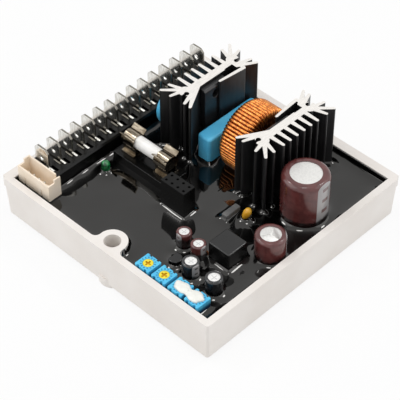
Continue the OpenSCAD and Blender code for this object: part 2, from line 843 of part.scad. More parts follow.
// Half section of a rolled shoulder, from the side wall to the top face
function shoulder_arc(r, h, round_r) = [
    for (i = [0:6])
        let (a = 90 * i / 6)
        [r - round_r + round_r * cos(a), h - round_r + round_r * sin(a)]
];

// Aluminium can, below its sleeve by the sleeve's thickness
module can(d, h) {
    r = d / 2 - sleeve_t - fit_gap;
    round_r = d * shoulder_share - sleeve_t;
    top = h - sleeve_t - fit_gap;
    rotate_extrude() polygon(concat([[0, 0], [r, 0]], shoulder_arc(r, top, round_r), [[0, top]]));
}

// Shrunk sleeve that leaves a round window on top
module sleeve(d, h) {
    round_r = d * shoulder_share;
    outside = shoulder_arc(d / 2, h, round_r);
    inside = shoulder_arc(d / 2 - sleeve_t, h - sleeve_t, round_r - sleeve_t);
    window_r = bare_top * d / 2;
    rotate_extrude() polygon(concat(
        [[d / 2, 0]],
        outside,
        [[window_r, h], [window_r, h - sleeve_t]],
        [for (i = [len(inside) - 1:-1:0]) inside[i]],
        [[d / 2 - sleeve_t, 0]]
    ));
}

module bulk_capacitor() color(ALUMINIUM) on_board(bulk_at) can(bulk_d, bulk_h);

module bulk_sleeve() color(MAROON) on_board(bulk_at) sleeve(bulk_d, bulk_h);

// The smoothing capacitor's top is scored three ways as a vent
module smoothing_capacitor() color(ALUMINIUM) on_board(smooth_at) difference() {
    can(smooth_d, smooth_h);
    for (a = [30, 150, 270])
        rotate(a) translate([0, -vent_w / 2, smooth_h - sleeve_t - fit_gap - vent_depth])
            cube([bare_top * smooth_d / 2 - vent_w, vent_w, 1]);
}

module smoothing_sleeve() color(MAROON) on_board(smooth_at) sleeve(smooth_d, smooth_h);

module small_capacitor(i) color(ALUMINIUM) on_board(small_at[i]) can(small_sizes[i], small_h);

module small_sleeve(i) color(i < 2 ? MAROON : BLACK) on_board(small_at[i]) sleeve(small_sizes[i], small_h);

function trimmer_place(i) = [trim_x, front_y + trim_first_y + i * trim_pitch];

module at_trimmer(i) translate(concat(trimmer_place(i), [z_board])) children();

// Square body with a well for the rotor and two notches on each side
module trimmer(i) color(BLUE) at_trimmer(i) difference() {
    linear_extrude(trim_h) difference() {
        round_rect([trim_w, trim_w], trim_r, $fn = 24);
        for (x = [-1, 1], y = [-1, 1])
            translate([x * trim_w / 2, y * notch_y]) square([2 * notch_depth, notch_w], center = true);
    }
    translate([0, 0, trim_h - rotor_drop - rotor_h]) cylinder(d = rotor_d + 2 * rotor_gap, h = rotor_h + 1);
}

// Slotted rotor, which turns in the body's well
module rotor(i) color(YELLOW) at_trimmer(i) translate([0, 0, trim_h - rotor_drop]) difference() {
    translate([0, 0, fit_gap - rotor_h]) cylinder(d = rotor_d, h = rotor_h - fit_gap);
    for (a = [0, 90])
        rotate(a) translate([-rotor_slot_l / 2, -rotor_slot_w / 2, -rotor_slot_depth])
            cube([rotor_slot_l, rotor_slot_w, rotor_slot_depth + 1]);
}

// A drop of sealing paint on each of two trimmers, run together between them
module sealing_paint() color(WHITE) translate([0, 0, z_board + trim_h]) {
    drop_r = (paint_r * paint_r + paint_h * paint_h) / (2 * paint_h);
    between = trimmer_place(painted[1]) - trimmer_place(painted[0]);
    intersection() {
        translate([left_x, front_y, 0]) cube([tray_w, tray_d, paint_h]);
        union() {
            for (i = painted)
                translate(concat(trimmer_place(i), [paint_h - drop_r])) sphere(drop_r, $fn = 64);
            translate(trimmer_place(painted[0])) rotate([-90, 0, 0])
                cylinder(r = paint_bridge_r, h = between.y);
        }
    }
}

// Round lens with a flange and a domed end, on two leads
module status_led() color(GREEN) on_board(led_at) {
    dome = led_bottom + led_h - led_d / 2;
    translate([0, 0, led_bottom]) cylinder(d = led_flange_d, h = led_flange_h);
    translate([0, 0, led_bottom]) cylinder(d = led_d, h = dome - led_bottom);
    translate([0, 0, dome]) intersection() {
        sphere(d = led_d);
        cylinder(d = 2 * led_d, h = led_d);
    }
    for (s = [-1, 1])
        translate([s * led_d / 4, 0, 0]) cylinder(d = wire_d, h = led_bottom + led_flange_h / 2, $fn = 24);
}

// Dipped capacitor: a drop that narrows towards its two leads
module drop_capacitor() color(AMBER) on_board(drop_at) {
    steps = 12;
    translate([0, 0, drop_bottom]) rotate_extrude() polygon(concat(
        [[0, 0]],
        [for (i = [1:steps - 1])
            let (t = 180 * i / steps)
            [drop_d / 2 * sin(t) * (1 - drop_taper * cos(t)), drop_h / 2 * (1 - cos(t))]],
        [[0, drop_h]]
    ));
    for (s = [-1, 1])
        translate([s * drop_d / 6, 0, 0]) cylinder(d = wire_d, h = drop_bottom + drop_h / 4, $fn = 24);
}

module resistor_network() color(BLACK) on_board(network_at)
    soft_block(network_size, network_r, network_top_r);

module power_inductor() color(BLACK) on_board(inductor_at)
    soft_block(inductor_size, inductor_r, inductor_top_r);

// Round package with one flat side
module small_transistor() color(BLACK) on_board(transistor_at) intersection() {
    cylinder(d = transistor_d, h = transistor_h);
    translate([-transistor_d, -transistor_d / 2, -1])
        cube([2 * transistor_d, transistor_d / 2 + transistor_flat, transistor_h + 2]);
}

tray();
circuit_board();
potting();
terminal_block();
for (i = [0:terminal_count - 1])
    terminal(i);
connector_housing();
connector_pins();
fuse_holder();
fuse_clips();
fuse_tube();
fuse_caps();
pin_socket();
heatsink(1);  // heatsink_rear
heatsink(-1);  // heatsink_front
power_device(1);  // power_device_rear
power_device(-1);  // power_device_front
film_capacitor();
varistor();
choke_core();
choke_winding();
bulk_capacitor();
bulk_sleeve();
smoothing_capacitor();
smoothing_sleeve();
for (i = [0:3]) {
    small_capacitor(i);
    small_sleeve(i);
    trimmer(i);
    rotor(i);
}
sealing_paint();
status_led();
drop_capacitor();
resistor_network();
power_inductor();
small_transistor();
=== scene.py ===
"""Dress the open voltage regulator: finishes, wound choke, resin pool, paint and studio.

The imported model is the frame. Solids whose shape is right are carried over with eased edges, and
the pieces that a solid can only hint at are worked out here as surfaces with numpy. Sizes are in
millimetres unless a line says otherwise.
"""

from __future__ import annotations

import json
import logging
import math
from dataclasses import dataclass, field
from enum import Enum
from functools import cached_property
from typing import Any, Sequence, Union

import bmesh
import bpy
import numpy as np
from mathutils import Matrix, Vector

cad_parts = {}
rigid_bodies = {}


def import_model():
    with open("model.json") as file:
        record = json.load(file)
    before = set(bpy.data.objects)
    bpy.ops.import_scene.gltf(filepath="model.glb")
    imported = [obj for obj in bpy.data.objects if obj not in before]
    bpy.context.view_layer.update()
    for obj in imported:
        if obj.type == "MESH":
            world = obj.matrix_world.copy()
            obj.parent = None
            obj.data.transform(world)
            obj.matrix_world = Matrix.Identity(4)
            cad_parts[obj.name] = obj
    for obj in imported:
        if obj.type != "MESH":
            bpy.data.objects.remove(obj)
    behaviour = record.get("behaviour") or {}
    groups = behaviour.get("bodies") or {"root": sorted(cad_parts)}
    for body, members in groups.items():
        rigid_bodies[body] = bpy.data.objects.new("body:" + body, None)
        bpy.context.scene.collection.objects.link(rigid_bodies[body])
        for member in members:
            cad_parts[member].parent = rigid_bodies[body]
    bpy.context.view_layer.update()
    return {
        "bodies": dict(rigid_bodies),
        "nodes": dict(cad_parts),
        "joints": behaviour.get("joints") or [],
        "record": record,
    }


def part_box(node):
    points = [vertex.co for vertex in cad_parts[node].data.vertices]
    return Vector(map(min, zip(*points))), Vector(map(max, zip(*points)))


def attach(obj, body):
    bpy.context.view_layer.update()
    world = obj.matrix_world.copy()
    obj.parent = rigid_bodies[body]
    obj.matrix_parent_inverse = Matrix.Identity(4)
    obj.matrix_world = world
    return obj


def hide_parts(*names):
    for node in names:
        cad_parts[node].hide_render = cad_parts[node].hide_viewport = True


LOG = logging.getLogger("regulator")
MM = 0.001
SAME_POINT_M = 1e-7
HEATSINKS = ("heatsink_rear", "heatsink_front")
Colour = tuple[float, float, float, float]
Triple = tuple[float, float, float]
Pair = tuple[float, float]


class Axis(Enum):
    """An axis of the part, by the name of the socket that gives the place along it."""

    X = "X"
    Y = "Y"
    Z = "Z"


class Operation(Enum):
    """What a Math node does, by Blender's name for it."""

    ADD = "ADD"
    SUBTRACT = "SUBTRACT"
    MULTIPLY = "MULTIPLY"
    FRACTION = "FRACT"
    ABSOLUTE = "ABSOLUTE"
    ANGLE = "ARCTAN2"


class Ray(Enum):
    """What a ray is for, by the name of the Light Path output that tells."""

    CAMERA = "Is Camera Ray"
    GLOSSY = "Is Glossy Ray"
    TRANSMISSION = "Is Transmission Ray"


def shade(red: int, green: int, blue: int) -> Colour:
    """Turn a colour as seen on a screen into the linear colour that a shader takes.

    Args:
        red: Red from 0 to 255.
        green: Green from 0 to 255.
        blue: Blue from 0 to 255.

    Returns:
        The linear colour with alpha 1, by the usual screen curve.
    """
    seen = np.array([red, green, blue]) / 255.0
    linear = np.where(seen <= 0.04045, seen / 12.92, ((seen + 0.055) / 1.055) ** 2.4)
    return (float(linear[0]), float(linear[1]), float(linear[2]), 1.0)


WHITE: Colour = (1.0, 1.0, 1.0, 1.0)
# Near-black of wet resin on the header's foot; the sleeves take the same dark colour low down.
DARK_BAND = shade(13, 12, 12)


class Socket:
    """A node's output that takes part in Python arithmetic, one Math node per operation."""

    def __init__(self, shader: Shader, socket: bpy.types.NodeSocket) -> None:
        """Keep the shader that owns the socket and the socket itself."""
        self.shader = shader
        self.socket = socket

    def joined(self, operation: Operation, *terms: Term) -> Socket:
        """Add one Math node that works on the terms."""
        return self.shader.node("ShaderNodeMath", {"operation": operation.value}, dict(enumerate(terms)))

    def __add__(self, other: Term) -> Socket:
        """Sum of this value and another."""
        return self.joined(Operation.ADD, self, other)

    __radd__ = __add__

    def __sub__(self, other: Term) -> Socket:
        """This value less another."""
        return self.joined(Operation.SUBTRACT, self, other)

    def __rsub__(self, other: Term) -> Socket:
        """Another value less this one."""
        return self.joined(Operation.SUBTRACT, other, self)

    def __mul__(self, other: Term) -> Socket:
        """Product of this value and another."""
        return self.joined(Operation.MULTIPLY, self, other)

    __rmul__ = __mul__

    def __abs__(self) -> Socket:
        """This value without its sign."""
        return self.joined(Operation.ABSOLUTE, self)

    def fraction(self) -> Socket:
        """What this value has beyond a whole number."""
        return self.joined(Operation.FRACTION, self)

    def around(self, middle: float, spread: float) -> Socket:
        """This value, from 0 to 1, turned into one that is spread evenly about a middle."""
        return self * spread + (middle - spread / 2)

    def step(self, low: float, high: float) -> Socket:
        """Smooth step of this value.

        Args:
            low: Value at which the result is 0.
            high: Value at which the result is 1.

        Returns:
            A value from 0 to 1.
        """
        return self.shader.node(
            "ShaderNodeMapRange",
            {"interpolation_type": "SMOOTHSTEP"},
            {"Value": self, "From Min": low, "From Max": high},
        )


Term = Union[Socket, float]


@dataclass(frozen=True)
class Grain:
    """Cloudy noise: a cloud's size, the octaves of finer noise and the frequency along each axis."""

    size: float
    detail: float = 3.0
    stretch: Triple = (1.0, 1.0, 1.0)


class Shader:
    """The node tree of a material or of the world while it is made."""

    def __init__(self, owner: bpy.types.Material | bpy.types.World) -> None:
        """Start an empty node tree for its owner.

        Args:
            owner: The material or the world.
        """
        self.owner = owner
        self.owner.use_nodes = True
        self.tree = self.owner.node_tree
        self.tree.nodes.clear()
        self.noises: dict[Grain, Socket] = {}

    @cached_property
    def place(self) -> Socket:
        """Object coordinates in metres."""
        return self.node("ShaderNodeTexCoord", output="Object")

    def add(
        self, kind: str, settings: dict[str, Any] | None = None, inputs: dict[Any, Any] | None = None
    ) -> bpy.types.Node:
        """Add a node, set it up and link it.

        Args:
            kind: Blender's name of the node's type.
            settings: The node's own properties, set before its sockets.
            inputs: Values or sockets by the input's name or number.

        Returns:
            The node.
        """
        made = self.tree.nodes.new(kind)
        for key, value in (settings or {}).items():
            setattr(made, key, value)
        for key, value in (inputs or {}).items():
            if isinstance(value, Socket):
                self.tree.links.new(value.socket, made.inputs[key])
            else:
                made.inputs[key].default_value = value
        return made

    def node(
        self,
        kind: str,
        settings: dict[str, Any] | None = None,
        inputs: dict[Any, Any] | None = None,
        output: str | int = 0,
    ) -> Socket:
        """Add a node and take one of its outputs, by name or number."""
        return Socket(self, self.add(kind, settings, inputs).outputs[output])

    def mapped(self, stretch: Sequence[float], centre: Sequence[float] = (0, 0, 0)) -> Socket:
        """Object coordinates measured from a centre and scaled.

        Args:
            stretch: Scale along each axis.
            centre: Point in metres that becomes the origin.

        Returns:
            The mapped vector.
        """
        moved = [-c * s for c, s in zip(centre, stretch)]
        inputs = {"Vector": self.place, "Location": moved, "Scale": list(stretch)}
        return self.node("ShaderNodeMapping", None, inputs)

    def noise(self, grain: Grain) -> Socket:
        """Cloudy noise on object coordinates, made once for each grain.

        Args:
            grain: Size, detail and stretch of the noise.

        Returns:
            A value from 0 to 1.
        """
        if grain not in self.noises:
            place = self.mapped(grain.stretch)
            inputs = {"Vector": place, "Scale": 1 / (grain.size * MM), "Detail": grain.detail}
            self.noises[grain] = self.node("ShaderNodeTexNoise", None, inputs)
        return self.noises[grain]

    def axis(self, axis: Axis, centre: Sequence[float] = (0, 0, 0)) -> Socket:
        """One object coordinate in millimetres, measured from a centre in metres."""
        vector = self.mapped((1 / MM,) * 3, centre)
        return self.node("ShaderNodeSeparateXYZ", None, {0: vector}, axis.value)

    def angle(self, centre: Sequence[float]) -> Socket:
        """Angle about an upright axis through a centre, in radians from +X."""
        east = self.axis(Axis.X, centre)
        return east.joined(Operation.ANGLE, self.axis(Axis.Y, centre), east)

    def above(self, top: float, depths: Pair) -> Socket:
        """0 below the first of two depths under a top, 1 above the second, smooth between."""
        return self.axis(Axis.Z).step(top - depths[0], top - depths[1])

    def below(self, level: float, soft: float, noise: Socket, wander: float) -> Socket:
        """1 below a level and 0 above it, with a soft edge.

        Args:
            level: The level.
            soft: How far the edge fades to either side.
            noise: A noise from 0 to 1 that moves the edge.
            wander: How far it moves the edge in all.

        Returns:
            A value from 0 to 1.
        """
        height = self.axis(Axis.Z) + noise * wander - wander / 2
        return 1 - height.step(level - soft, level + soft)

    def blend(self, factor: Socket, first: Any, second: Any) -> Socket:
        """Mix two colours by a factor."""
        settings = {"data_type": "RGBA", "clamp_factor": True}
        return self.node("ShaderNodeMix", settings, {0: factor, 6: first, 7: second}, 2)

    def bump(self, height: Socket, depth: float) -> Socket:
        """Normal for a height from 0 to 1 that is that many millimetres deep."""
        inputs = {"Height": height, "Distance": depth * MM, "Strength": 1.0}
        return self.node("ShaderNodeBump", None, inputs)

    def close(self, surface: Socket, kind: str = "ShaderNodeOutputMaterial") -> None:
        """End the tree with an output node that shows a surface."""
        self.add(kind, None, {"Surface": surface})


@dataclass(frozen=True)
class Layer:
    """What lies over part of a surface: where it is, its colour and ink, its gloss and its metal."""

    mask: Socket
    colour: Any
    ink: float = 1.0
    gloss: Socket | None = None
    metallic: float = 0.0


@dataclass(frozen=True)
class Finish:
    """The look of a surface: a cloudy colour, an uneven gloss and a fine relief under its layers.

    Gloss is the roughness and how far it is uneven, span the values of the clouds between dark and
    light, and coat the weight and roughness of a clear coat. The clouds serve as grain where none
    is set. A carved finish takes its relief from its first layer in place of its grain.
    """

    name: str
    light: Colour
    dark: Colour
    gloss: Pair = (0.4, 0.12)
    cloud: Grain = Grain(6.0)
    grain: Grain | None = None
    depth: float = 0.006
    span: Pair = (0.3, 0.7)
    coat: Pair = (0.0, 0.1)
    specular: float = 0.5
    metallic: float = 0.0
    carved: bool = False

    def layers(self, shader: Shader) -> list[Layer]:
        """Layers from the lowest up. A plain finish has none."""
        return []

    def fine(self, shader: Shader) -> Socket:
        """The grain, or else the clouds."""
        return shader.noise(self.grain or self.cloud)

    def roughness(self, shader: Shader) -> Socket:
        """Roughness below the layers."""
        return self.fine(shader).around(*self.gloss)

    def constants(self) -> dict[str, Any]:
        """Inputs of the principled surface that only this kind of finish sets."""
        return {}

    def material(self) -> bpy.types.Material:
        """Build the material: each layer covers the colour, gloss and metal of those below it.

        Returns:
            The material.
        """
        shader = Shader(bpy.data.materials.new(self.name))
        layers = self.layers(shader)
        colour = shader.blend(shader.noise(self.cloud).step(*self.span), self.dark, self.light)
        roughness = self.roughness(shader)
        metallic = self.metallic
        for layer in layers:
            colour = shader.blend(layer.mask * layer.ink, colour, layer.colour)
            if layer.gloss is not None:
                roughness = roughness * (1 - layer.mask) + layer.gloss * layer.mask
            if layer.metallic:
                metallic = layer.mask * layer.metallic
        inputs = {
            "Base Color": colour,
            "Metallic": metallic,
            "Roughness": roughness,
            "Specular IOR Level": self.specular,
            "Coat Weight": self.coat[0],
            "Coat Roughness": self.coat[1],
            **self.constants(),
        }
        if self.depth:
            height = 1 - layers[0].mask if self.carved else self.fine(shader)
            inputs["Normal"] = shader.bump(height, self.depth)
        shader.close(shader.node("ShaderNodeBsdfPrincipled", None, inputs))
        return shader.owner


@dataclass(frozen=True)
class Moulding(Finish):
    """Moulded, dipped or painted plastic, with a grain finer than its clouds."""

    grain: Grain = Grain(0.3, 2.0)


@dataclass(frozen=True)
class Metal(Finish):
    """Bare or plated metal, with the same streaks in its colour, gloss and relief."""

    depth: float = 0.004
    metallic: float = 1.0


@dataclass(frozen=True, kw_only=True)
class Header(Moulding):
    """Cream moulding that a film of resin covers up to a given height."""

    light: Colour = shade(254, 240, 222)
    dark: Colour = shade(248, 231, 208)
    gloss: Pair = (0.38, 0.12)
    dark_below: float
    band_soft: float = 0.2
    band_wander: float = 0.8

    def layers(self, shader: Shader) -> list[Layer]:
        """The film, with an edge that wanders with the clouds."""
        cloud = shader.noise(self.cloud)
        return [Layer(shader.below(self.dark_below, self.band_soft, cloud, self.band_wander), DARK_BAND)]


@dataclass(frozen=True, kw_only=True)
class Anodised(Finish):
    """Black anodised extrusion whose sawn end, at the height top, is bare metal."""

    light: Colour = shade(34, 34, 35)
    dark: Colour = shade(20, 20, 21)
    gloss: Pair = (0.38, 0.16)
    cloud: Grain = Grain(0.5, 2.0, (1.0, 1.0, 0.04))
    span: Pair = (0.35, 0.75)
    top: float
    bare: Colour = shade(242, 238, 233)
    bare_dark: Colour = shade(222, 219, 214)
    bare_gloss: Pair = (0.47, 0.1)
    bare_metallic: float = 0.55
    saw: Grain = Grain(0.35, 3.0, (0.15, 2.0, 1.0))
    saw_span: Pair = (0.3, 0.7)
    end_depth: Pair = (0.16, 0.05)

    def layers(self, shader: Shader) -> list[Layer]:
        """Bare metal with saw marks, on the end that the height picks out.

        Args:
            shader: The material's node tree.

        Returns:
            The bare end.
        """
        saw = shader.noise(self.saw)
        bare = shader.blend(saw.step(*self.saw_span), self.bare_dark, self.bare)
        end = shader.above(self.top, self.end_depth)
        return [Layer(end, bare, gloss=saw.around(*self.bare_gloss), metallic=self.bare_metallic)]


@dataclass(frozen=True, kw_only=True)
class Sleeve(Finish):
    """Shrunk sleeve with a pale polarity stripe and dashes down one side.

    The centre is on the capacitor's axis in metres. Facing and half_width are in radians, and a height
    is given below which the sleeve is darker. Dashes are given as shares of the stripe's half width
    and of their pitch.
    """

    gloss: Pair = (0.22, 0.1)
    cloud: Grain = Grain(3.0)
    grain: Grain = Grain(1.4, 2.0, (1.0, 1.0, 0.3))
    depth: float = 0.02
    coat: Pair = (0.35, 0.08)
    stripe: Colour
    centre: Triple
    radius: float
    facing: float
    half_width: float
    stripe_soft: float = 0.02
    dash_pitch: float
    dash_width: Pair = (0.45, 0.38)
    dash_start: Pair = (0.3, 0.34)
    dash_end: Pair = (0.62, 0.66)
    dash_ink: float = 0.75
    dark_below: float
    band_soft: float = 0.7
    band_wander: float = 3.0
    band_ink: float = 0.9

    def layers(self, shader: Shader) -> list[Layer]:
        """The stripe, where the place along the facing is near the full radius, and a dark band low down.

        Args:
            shader: The material's node tree.

        Returns:
            The stripe with its dashes, and the film over it.
        """
        east = shader.axis(Axis.X, self.centre) * (math.cos(self.facing) / self.radius)
        north = shader.axis(Axis.Y, self.centre) * (math.sin(self.facing) / self.radius)
        toward = east + north
        edges = (self.half_width + self.stripe_soft, self.half_width - self.stripe_soft)
        band = toward.step(*(math.cos(edge) for edge in edges))
        core = toward.step(*(math.cos(self.half_width * share) for share in self.dash_width))
        phase = (shader.axis(Axis.Z) * (1 / self.dash_pitch)).fraction()
        dash = core * phase.step(*self.dash_start) * (1 - phase.step(*self.dash_end))
        # The sleeve is darker towards the bottom, below the given height, with an edge that wanders.
        film = shader.below(self.dark_below, self.band_soft, shader.noise(self.cloud), self.band_wander)
        return [
            Layer(band * (1 - dash * self.dash_ink), self.stripe),
            Layer(film, DARK_BAND, ink=self.band_ink),
        ]


@dataclass(frozen=True, kw_only=True)
class CastResin(Finish):
    """Black casting resin: a deep gloss with faint smears and a slight swell."""

    light: Colour = shade(8, 8, 8)
    dark: Colour = shade(4, 4, 4)
    gloss: Pair = (0.065, 0.06)
    cloud: Grain = Grain(5.0, 4.0)
    grain: Grain = Grain(7.0, 1.0)
    depth: float = 0.05
    span: Pair = (0.35, 0.7)
    smear: Pair = (0.45, 0.85)

    def roughness(self, shader: Shader) -> Socket:
        """Only the strongest smears are dull."""
        return shader.noise(self.cloud).step(*self.smear).around(*self.gloss)

    def constants(self) -> dict[str, Any]:
        """A dense resin with a faintly warm mirror."""
        return {"IOR": 1.58, "Specular Tint": (1.0, 0.98, 0.95, 1.0)}


@dataclass(frozen=True, kw_only=True)
class Blade(Metal):
    """Tinned tab: bright streaked faces, a bright pressed shoulder, and duller cut edges and legs.

    First is the place of the first tab along X, half is half a tab's thickness, low is the height of
    the block's top, and hole is the latch hole's place along Y and Z and its radius.
    """

    light: Colour = shade(236, 235, 231)
    dark: Colour = shade(206, 204, 198)
    gloss: Pair = (0.19, 0.14)
    cloud: Grain = Grain(0.7, 3.0, (1.0, 1.0, 0.3))
    first: float
    pitch: float
    half: float
    low: float
    hole: Triple
    edge: Colour = shade(128, 124, 116)
    edge_gloss: Pair = (0.39, 0.14)
    skin: Pair = (0.09, 0.02)
    bore_soft: float = 0.15
    shoulder: Pair = (0.4, 0.9)

    def layers(self, shader: Shader) -> list[Layer]:
        """Edges and legs; faces are told from edges by the distance from the nearest tab's middle.

        Args:
            shader: The material's node tree.

        Returns:
            The dull edges and legs.
        """
        turn = (shader.axis(Axis.X) - self.first) * (1 / self.pitch) + 0.5
        away = abs(turn.fraction() - 0.5) * self.pitch
        face = away.step(self.half - self.skin[0], self.half - self.skin[1])
        across = shader.axis(Axis.Y) - self.hole[0]
        up = shader.axis(Axis.Z) - self.hole[1]
        rim = (self.hole[2] ** 2, (self.hole[2] + self.bore_soft) ** 2)
        bore = 1 - (across * across + up * up).step(*rim)
        upper = shader.axis(Axis.Z).step(self.low + self.shoulder[0], self.low + self.shoulder[1])
        bright = (face + bore).step(0.0, 1.0) * upper + (1 - face) * (1 - upper)
        return [Layer(1 - bright, self.edge, gloss=self.fine(shader).around(*self.edge_gloss))]


@dataclass(frozen=True, kw_only=True)
class CanEnd(Finish):
    """Bare end of a drawn can, scored with a cross as a vent.

    The centre is on the can's axis in metres, and reach is the length of each arm of the cross.
    """

    light: Colour = shade(246, 245, 243)
    dark: Colour = shade(230, 229, 227)
    gloss: Pair = (0.43, 0.14)
    cloud: Grain = Grain(0.6)
    depth: float = 0.03
    metallic: float = 0.5
    carved: bool = True
    centre: Triple
    reach: float
    reach_soft: float = 0.15
    width: float = 0.1
    width_soft: float = 0.12
    score: Colour = shade(206, 206, 205)

    def layers(self, shader: Shader) -> list[Layer]:
        """The cross, where the place is near either axis and within reach of the centre.

        Args:
            shader: The material's node tree.

        Returns:
            The scored cross.
        """
        east = shader.axis(Axis.X, self.centre)
        north = shader.axis(Axis.Y, self.centre)
        line = (self.width**2, (self.width + self.width_soft) ** 2)
        beside = (east * east).step(*line) * (north * north).step(*line)
        square = east * east + north * north
        beyond = square.step((self.reach - self.reach_soft) ** 2, self.reach**2)
        return [Layer((1 - beside) * (1 - beyond), self.score)]


@dataclass(frozen=True, kw_only=True)
class TrimmerBody(Finish):
    """Blue moulding with a ring of scale marks, darker low down: partly a film of resin that wets it,
    partly painted shade.

    The centre is on the rotor's axis in metres, top is the height of the top face, and ring holds
    the inner and outer radius of the marks.
    """

    light: Colour = shade(90, 204, 244)
    dark: Colour = shade(72, 186, 234)
    gloss: Pair = (0.3, 0.12)
    cloud: Grain = Grain(3.0)
    depth: float = 0.08
    carved: bool = True
    centre: Triple
    top: float
    marks: int = 14
    mark: Colour = shade(22, 104, 150)
    mark_half: Pair = (0.12, 0.26)
    mark_ink: float = 0.75
    ring: Pair = (2.0, 2.5)
    ring_soft: Pair = (0.3, 0.4)
    # Colour of the foot: partly a film of resin, partly painted shade where little light reaches low down.
    dark_below: Colour = shade(14, 52, 88)
    wet_and_shade_depth: Pair = (2.6, 0.5)

    def layers(self, shader: Shader) -> list[Layer]:
        """Marks that repeat with the angle about the rotor inside the ring, and the dark foot, partly resin
        film and partly painted shade.

        Args:
            shader: The material's node tree.

        Returns:
            The marks, and the dark foot over them, partly painted shade.
        """
        east = shader.axis(Axis.X, self.centre)
        north = shader.axis(Axis.Y, self.centre)
        square = east * east + north * north
        inner, outer = (radius**2 for radius in self.ring)
        within = square.step(inner - self.ring_soft[0], inner)
        band = within * (1 - square.step(outer, outer + self.ring_soft[1]))
        turn = shader.angle(self.centre) * (self.marks / (2 * math.pi))
        spot = band * (1 - abs(turn.fraction() - 0.5).step(*self.mark_half))
        # Painted shade, together with the resin's film: the body darkens towards the bottom.
        low = 1 - shader.above(self.top, self.wet_and_shade_depth)
        return [Layer(spot, self.mark, ink=self.mark_ink), Layer(low, self.dark_below)]


@dataclass(frozen=True, kw_only=True)
class Dial(Finish):
    """Yellow rotor with painted shade in its slot; its face is at the height top."""

    light: Colour = shade(250, 234, 66)
    dark: Colour = shade(240, 214, 42)
    gloss: Pair = (0.36, 0.12)
    cloud: Grain = Grain(1.0)
    top: float
    # Darker amber: painted shade in the slot's recess.
    slot: Colour = shade(216, 166, 10)
    slot_shade_depth: Pair = (0.3, 0.09)

    def layers(self, shader: Shader) -> list[Layer]:
        """Painted shade in the slot, which the height tells from the face."""
        return [Layer(1 - shader.above(self.top, self.slot_shade_depth), self.slot)]


FINISHES: dict[str, Finish] = {
    finish.name: finish
    for finish in (
        Moulding(
            "ivory_moulding", shade(241, 236, 231), shade(235, 229, 223), (0.42, 0.14), Grain(14.0),
            Grain(0.45, 2.0), 0.008,
        ),
        Moulding("board_laminate", shade(40, 120, 66), shade(26, 96, 50)),
        CastResin("potting_resin"),
        Moulding("black_moulding", shade(10, 10, 9), shade(6, 6, 6), (0.25, 0.12), specular=0.2),
        Metal(
            "tin_plate", shade(232, 231, 228), shade(205, 203, 198), (0.2, 0.14),
            Grain(0.7, stretch=(1.0, 1.0, 0.3)),
        ),
        Metal(
            "nickel_plate", shade(160, 150, 134), shade(96, 86, 72), (0.16, 0.12),
            Grain(1.2, stretch=(1.0, 0.3, 1.0)),
        ),
        Moulding("fuse_ceramic", shade(250, 249, 246), shade(242, 240, 235), (0.3, 0.12)),
        Moulding(
            "black_epoxy", shade(40, 40, 41), shade(27, 27, 28), (0.36, 0.16), Grain(4.0), Grain(0.2, 2.0)
        ),
        Moulding(
            "blue_epoxy", shade(106, 210, 252), shade(88, 196, 245), (0.34, 0.12), Grain(9.0),
            Grain(0.5, 2.0), specular=0.35,
        ),
        Moulding("core_iron", shade(95, 95, 94), shade(70, 70, 70), (0.6, 0.12)),
        Metal(
            "copper_wire", shade(230, 150, 74), shade(170, 90, 34), (0.33, 0.14), Grain(1.1),
            depth=0.003, coat=(0.3, 0.1),
        ),
        Metal("bare_aluminium", shade(229, 228, 225), shade(218, 217, 214), (0.46, 0.12), Grain(0.5)),
        Moulding(
            "white_paint", shade(248, 248, 241), shade(239, 239, 232), (0.3, 0.1), Grain(2.0),
            Grain(0.6, 2.0),
        ),
        Finish(
            "green_lens", shade(44, 156, 88), shade(8, 66, 36), (0.085, 0.05), Grain(1.2, 1.0),
            depth=0.0, coat=(0.6, 0.03),
        ),
        Moulding("yellow_epoxy", shade(246, 192, 62), shade(222, 158, 34), (0.2, 0.12)),
    )
}


def grid_quads(rows: int, columns: int, wrap_rows: bool, wrap_columns: bool) -> np.ndarray:
    """Corner numbers of the quads of a grid.

    Args:
        rows: Points along the first parameter.
        columns: Points along the second parameter.
        wrap_rows: Whether the last row joins the first.
        wrap_columns: Whether the last column joins the first.

    Returns:
        An array of four point numbers per quad.
    """
    row = np.arange(rows if wrap_rows else rows - 1)[:, None]
    column = np.arange(columns if wrap_columns else columns - 1)[None, :]
    start = row * columns
    below = (row + 1) % rows * columns
    beside = (column + 1) % columns
    corners = [start + column, below + column, below + beside, start + beside]
    return np.stack(np.broadcast_arrays(*corners), axis=-1).reshape(-1, 4)


def surface(
    name: str,
    points: np.ndarray,
    wrap_rows: bool = False,
    wrap_columns: bool = False,
    keep: np.ndarray | None = None,
) -> bpy.types.Object:
    """Make a smooth object from a grid of points.

    Args:
        name: Name of the new object.
        points: Points by row, column and axis.
        wrap_rows: Whether the last row joins the first.
        wrap_columns: Whether the last column joins the first.
        keep: Which quads stay, or None for all of them.

    Returns:
        The object, with doubled points merged. Unless it is a sheet, which has some quads kept, its
        faces are turned outwards.
    """
    quads = grid_quads(points.shape[0], points.shape[1], wrap_rows, wrap_columns)
    if keep is not None:
        quads = quads[keep.reshape(-1)]
    mesh = bpy.data.meshes.new(name)
    mesh.from_pydata((points.reshape(-1, 3) * MM).tolist(), [], quads.tolist())
    form = bmesh.new()
    form.from_mesh(mesh)
    bmesh.ops.remove_doubles(form, verts=form.verts, dist=SAME_POINT_M)
    loose = [vertex for vertex in form.verts if not vertex.link_faces]
    bmesh.ops.delete(form, geom=loose, context="VERTS")
    if keep is None:
        bmesh.ops.recalc_face_normals(form, faces=form.faces)
    form.to_mesh(mesh)
    form.free()
    smooth(mesh)
    return add_object(name, mesh)


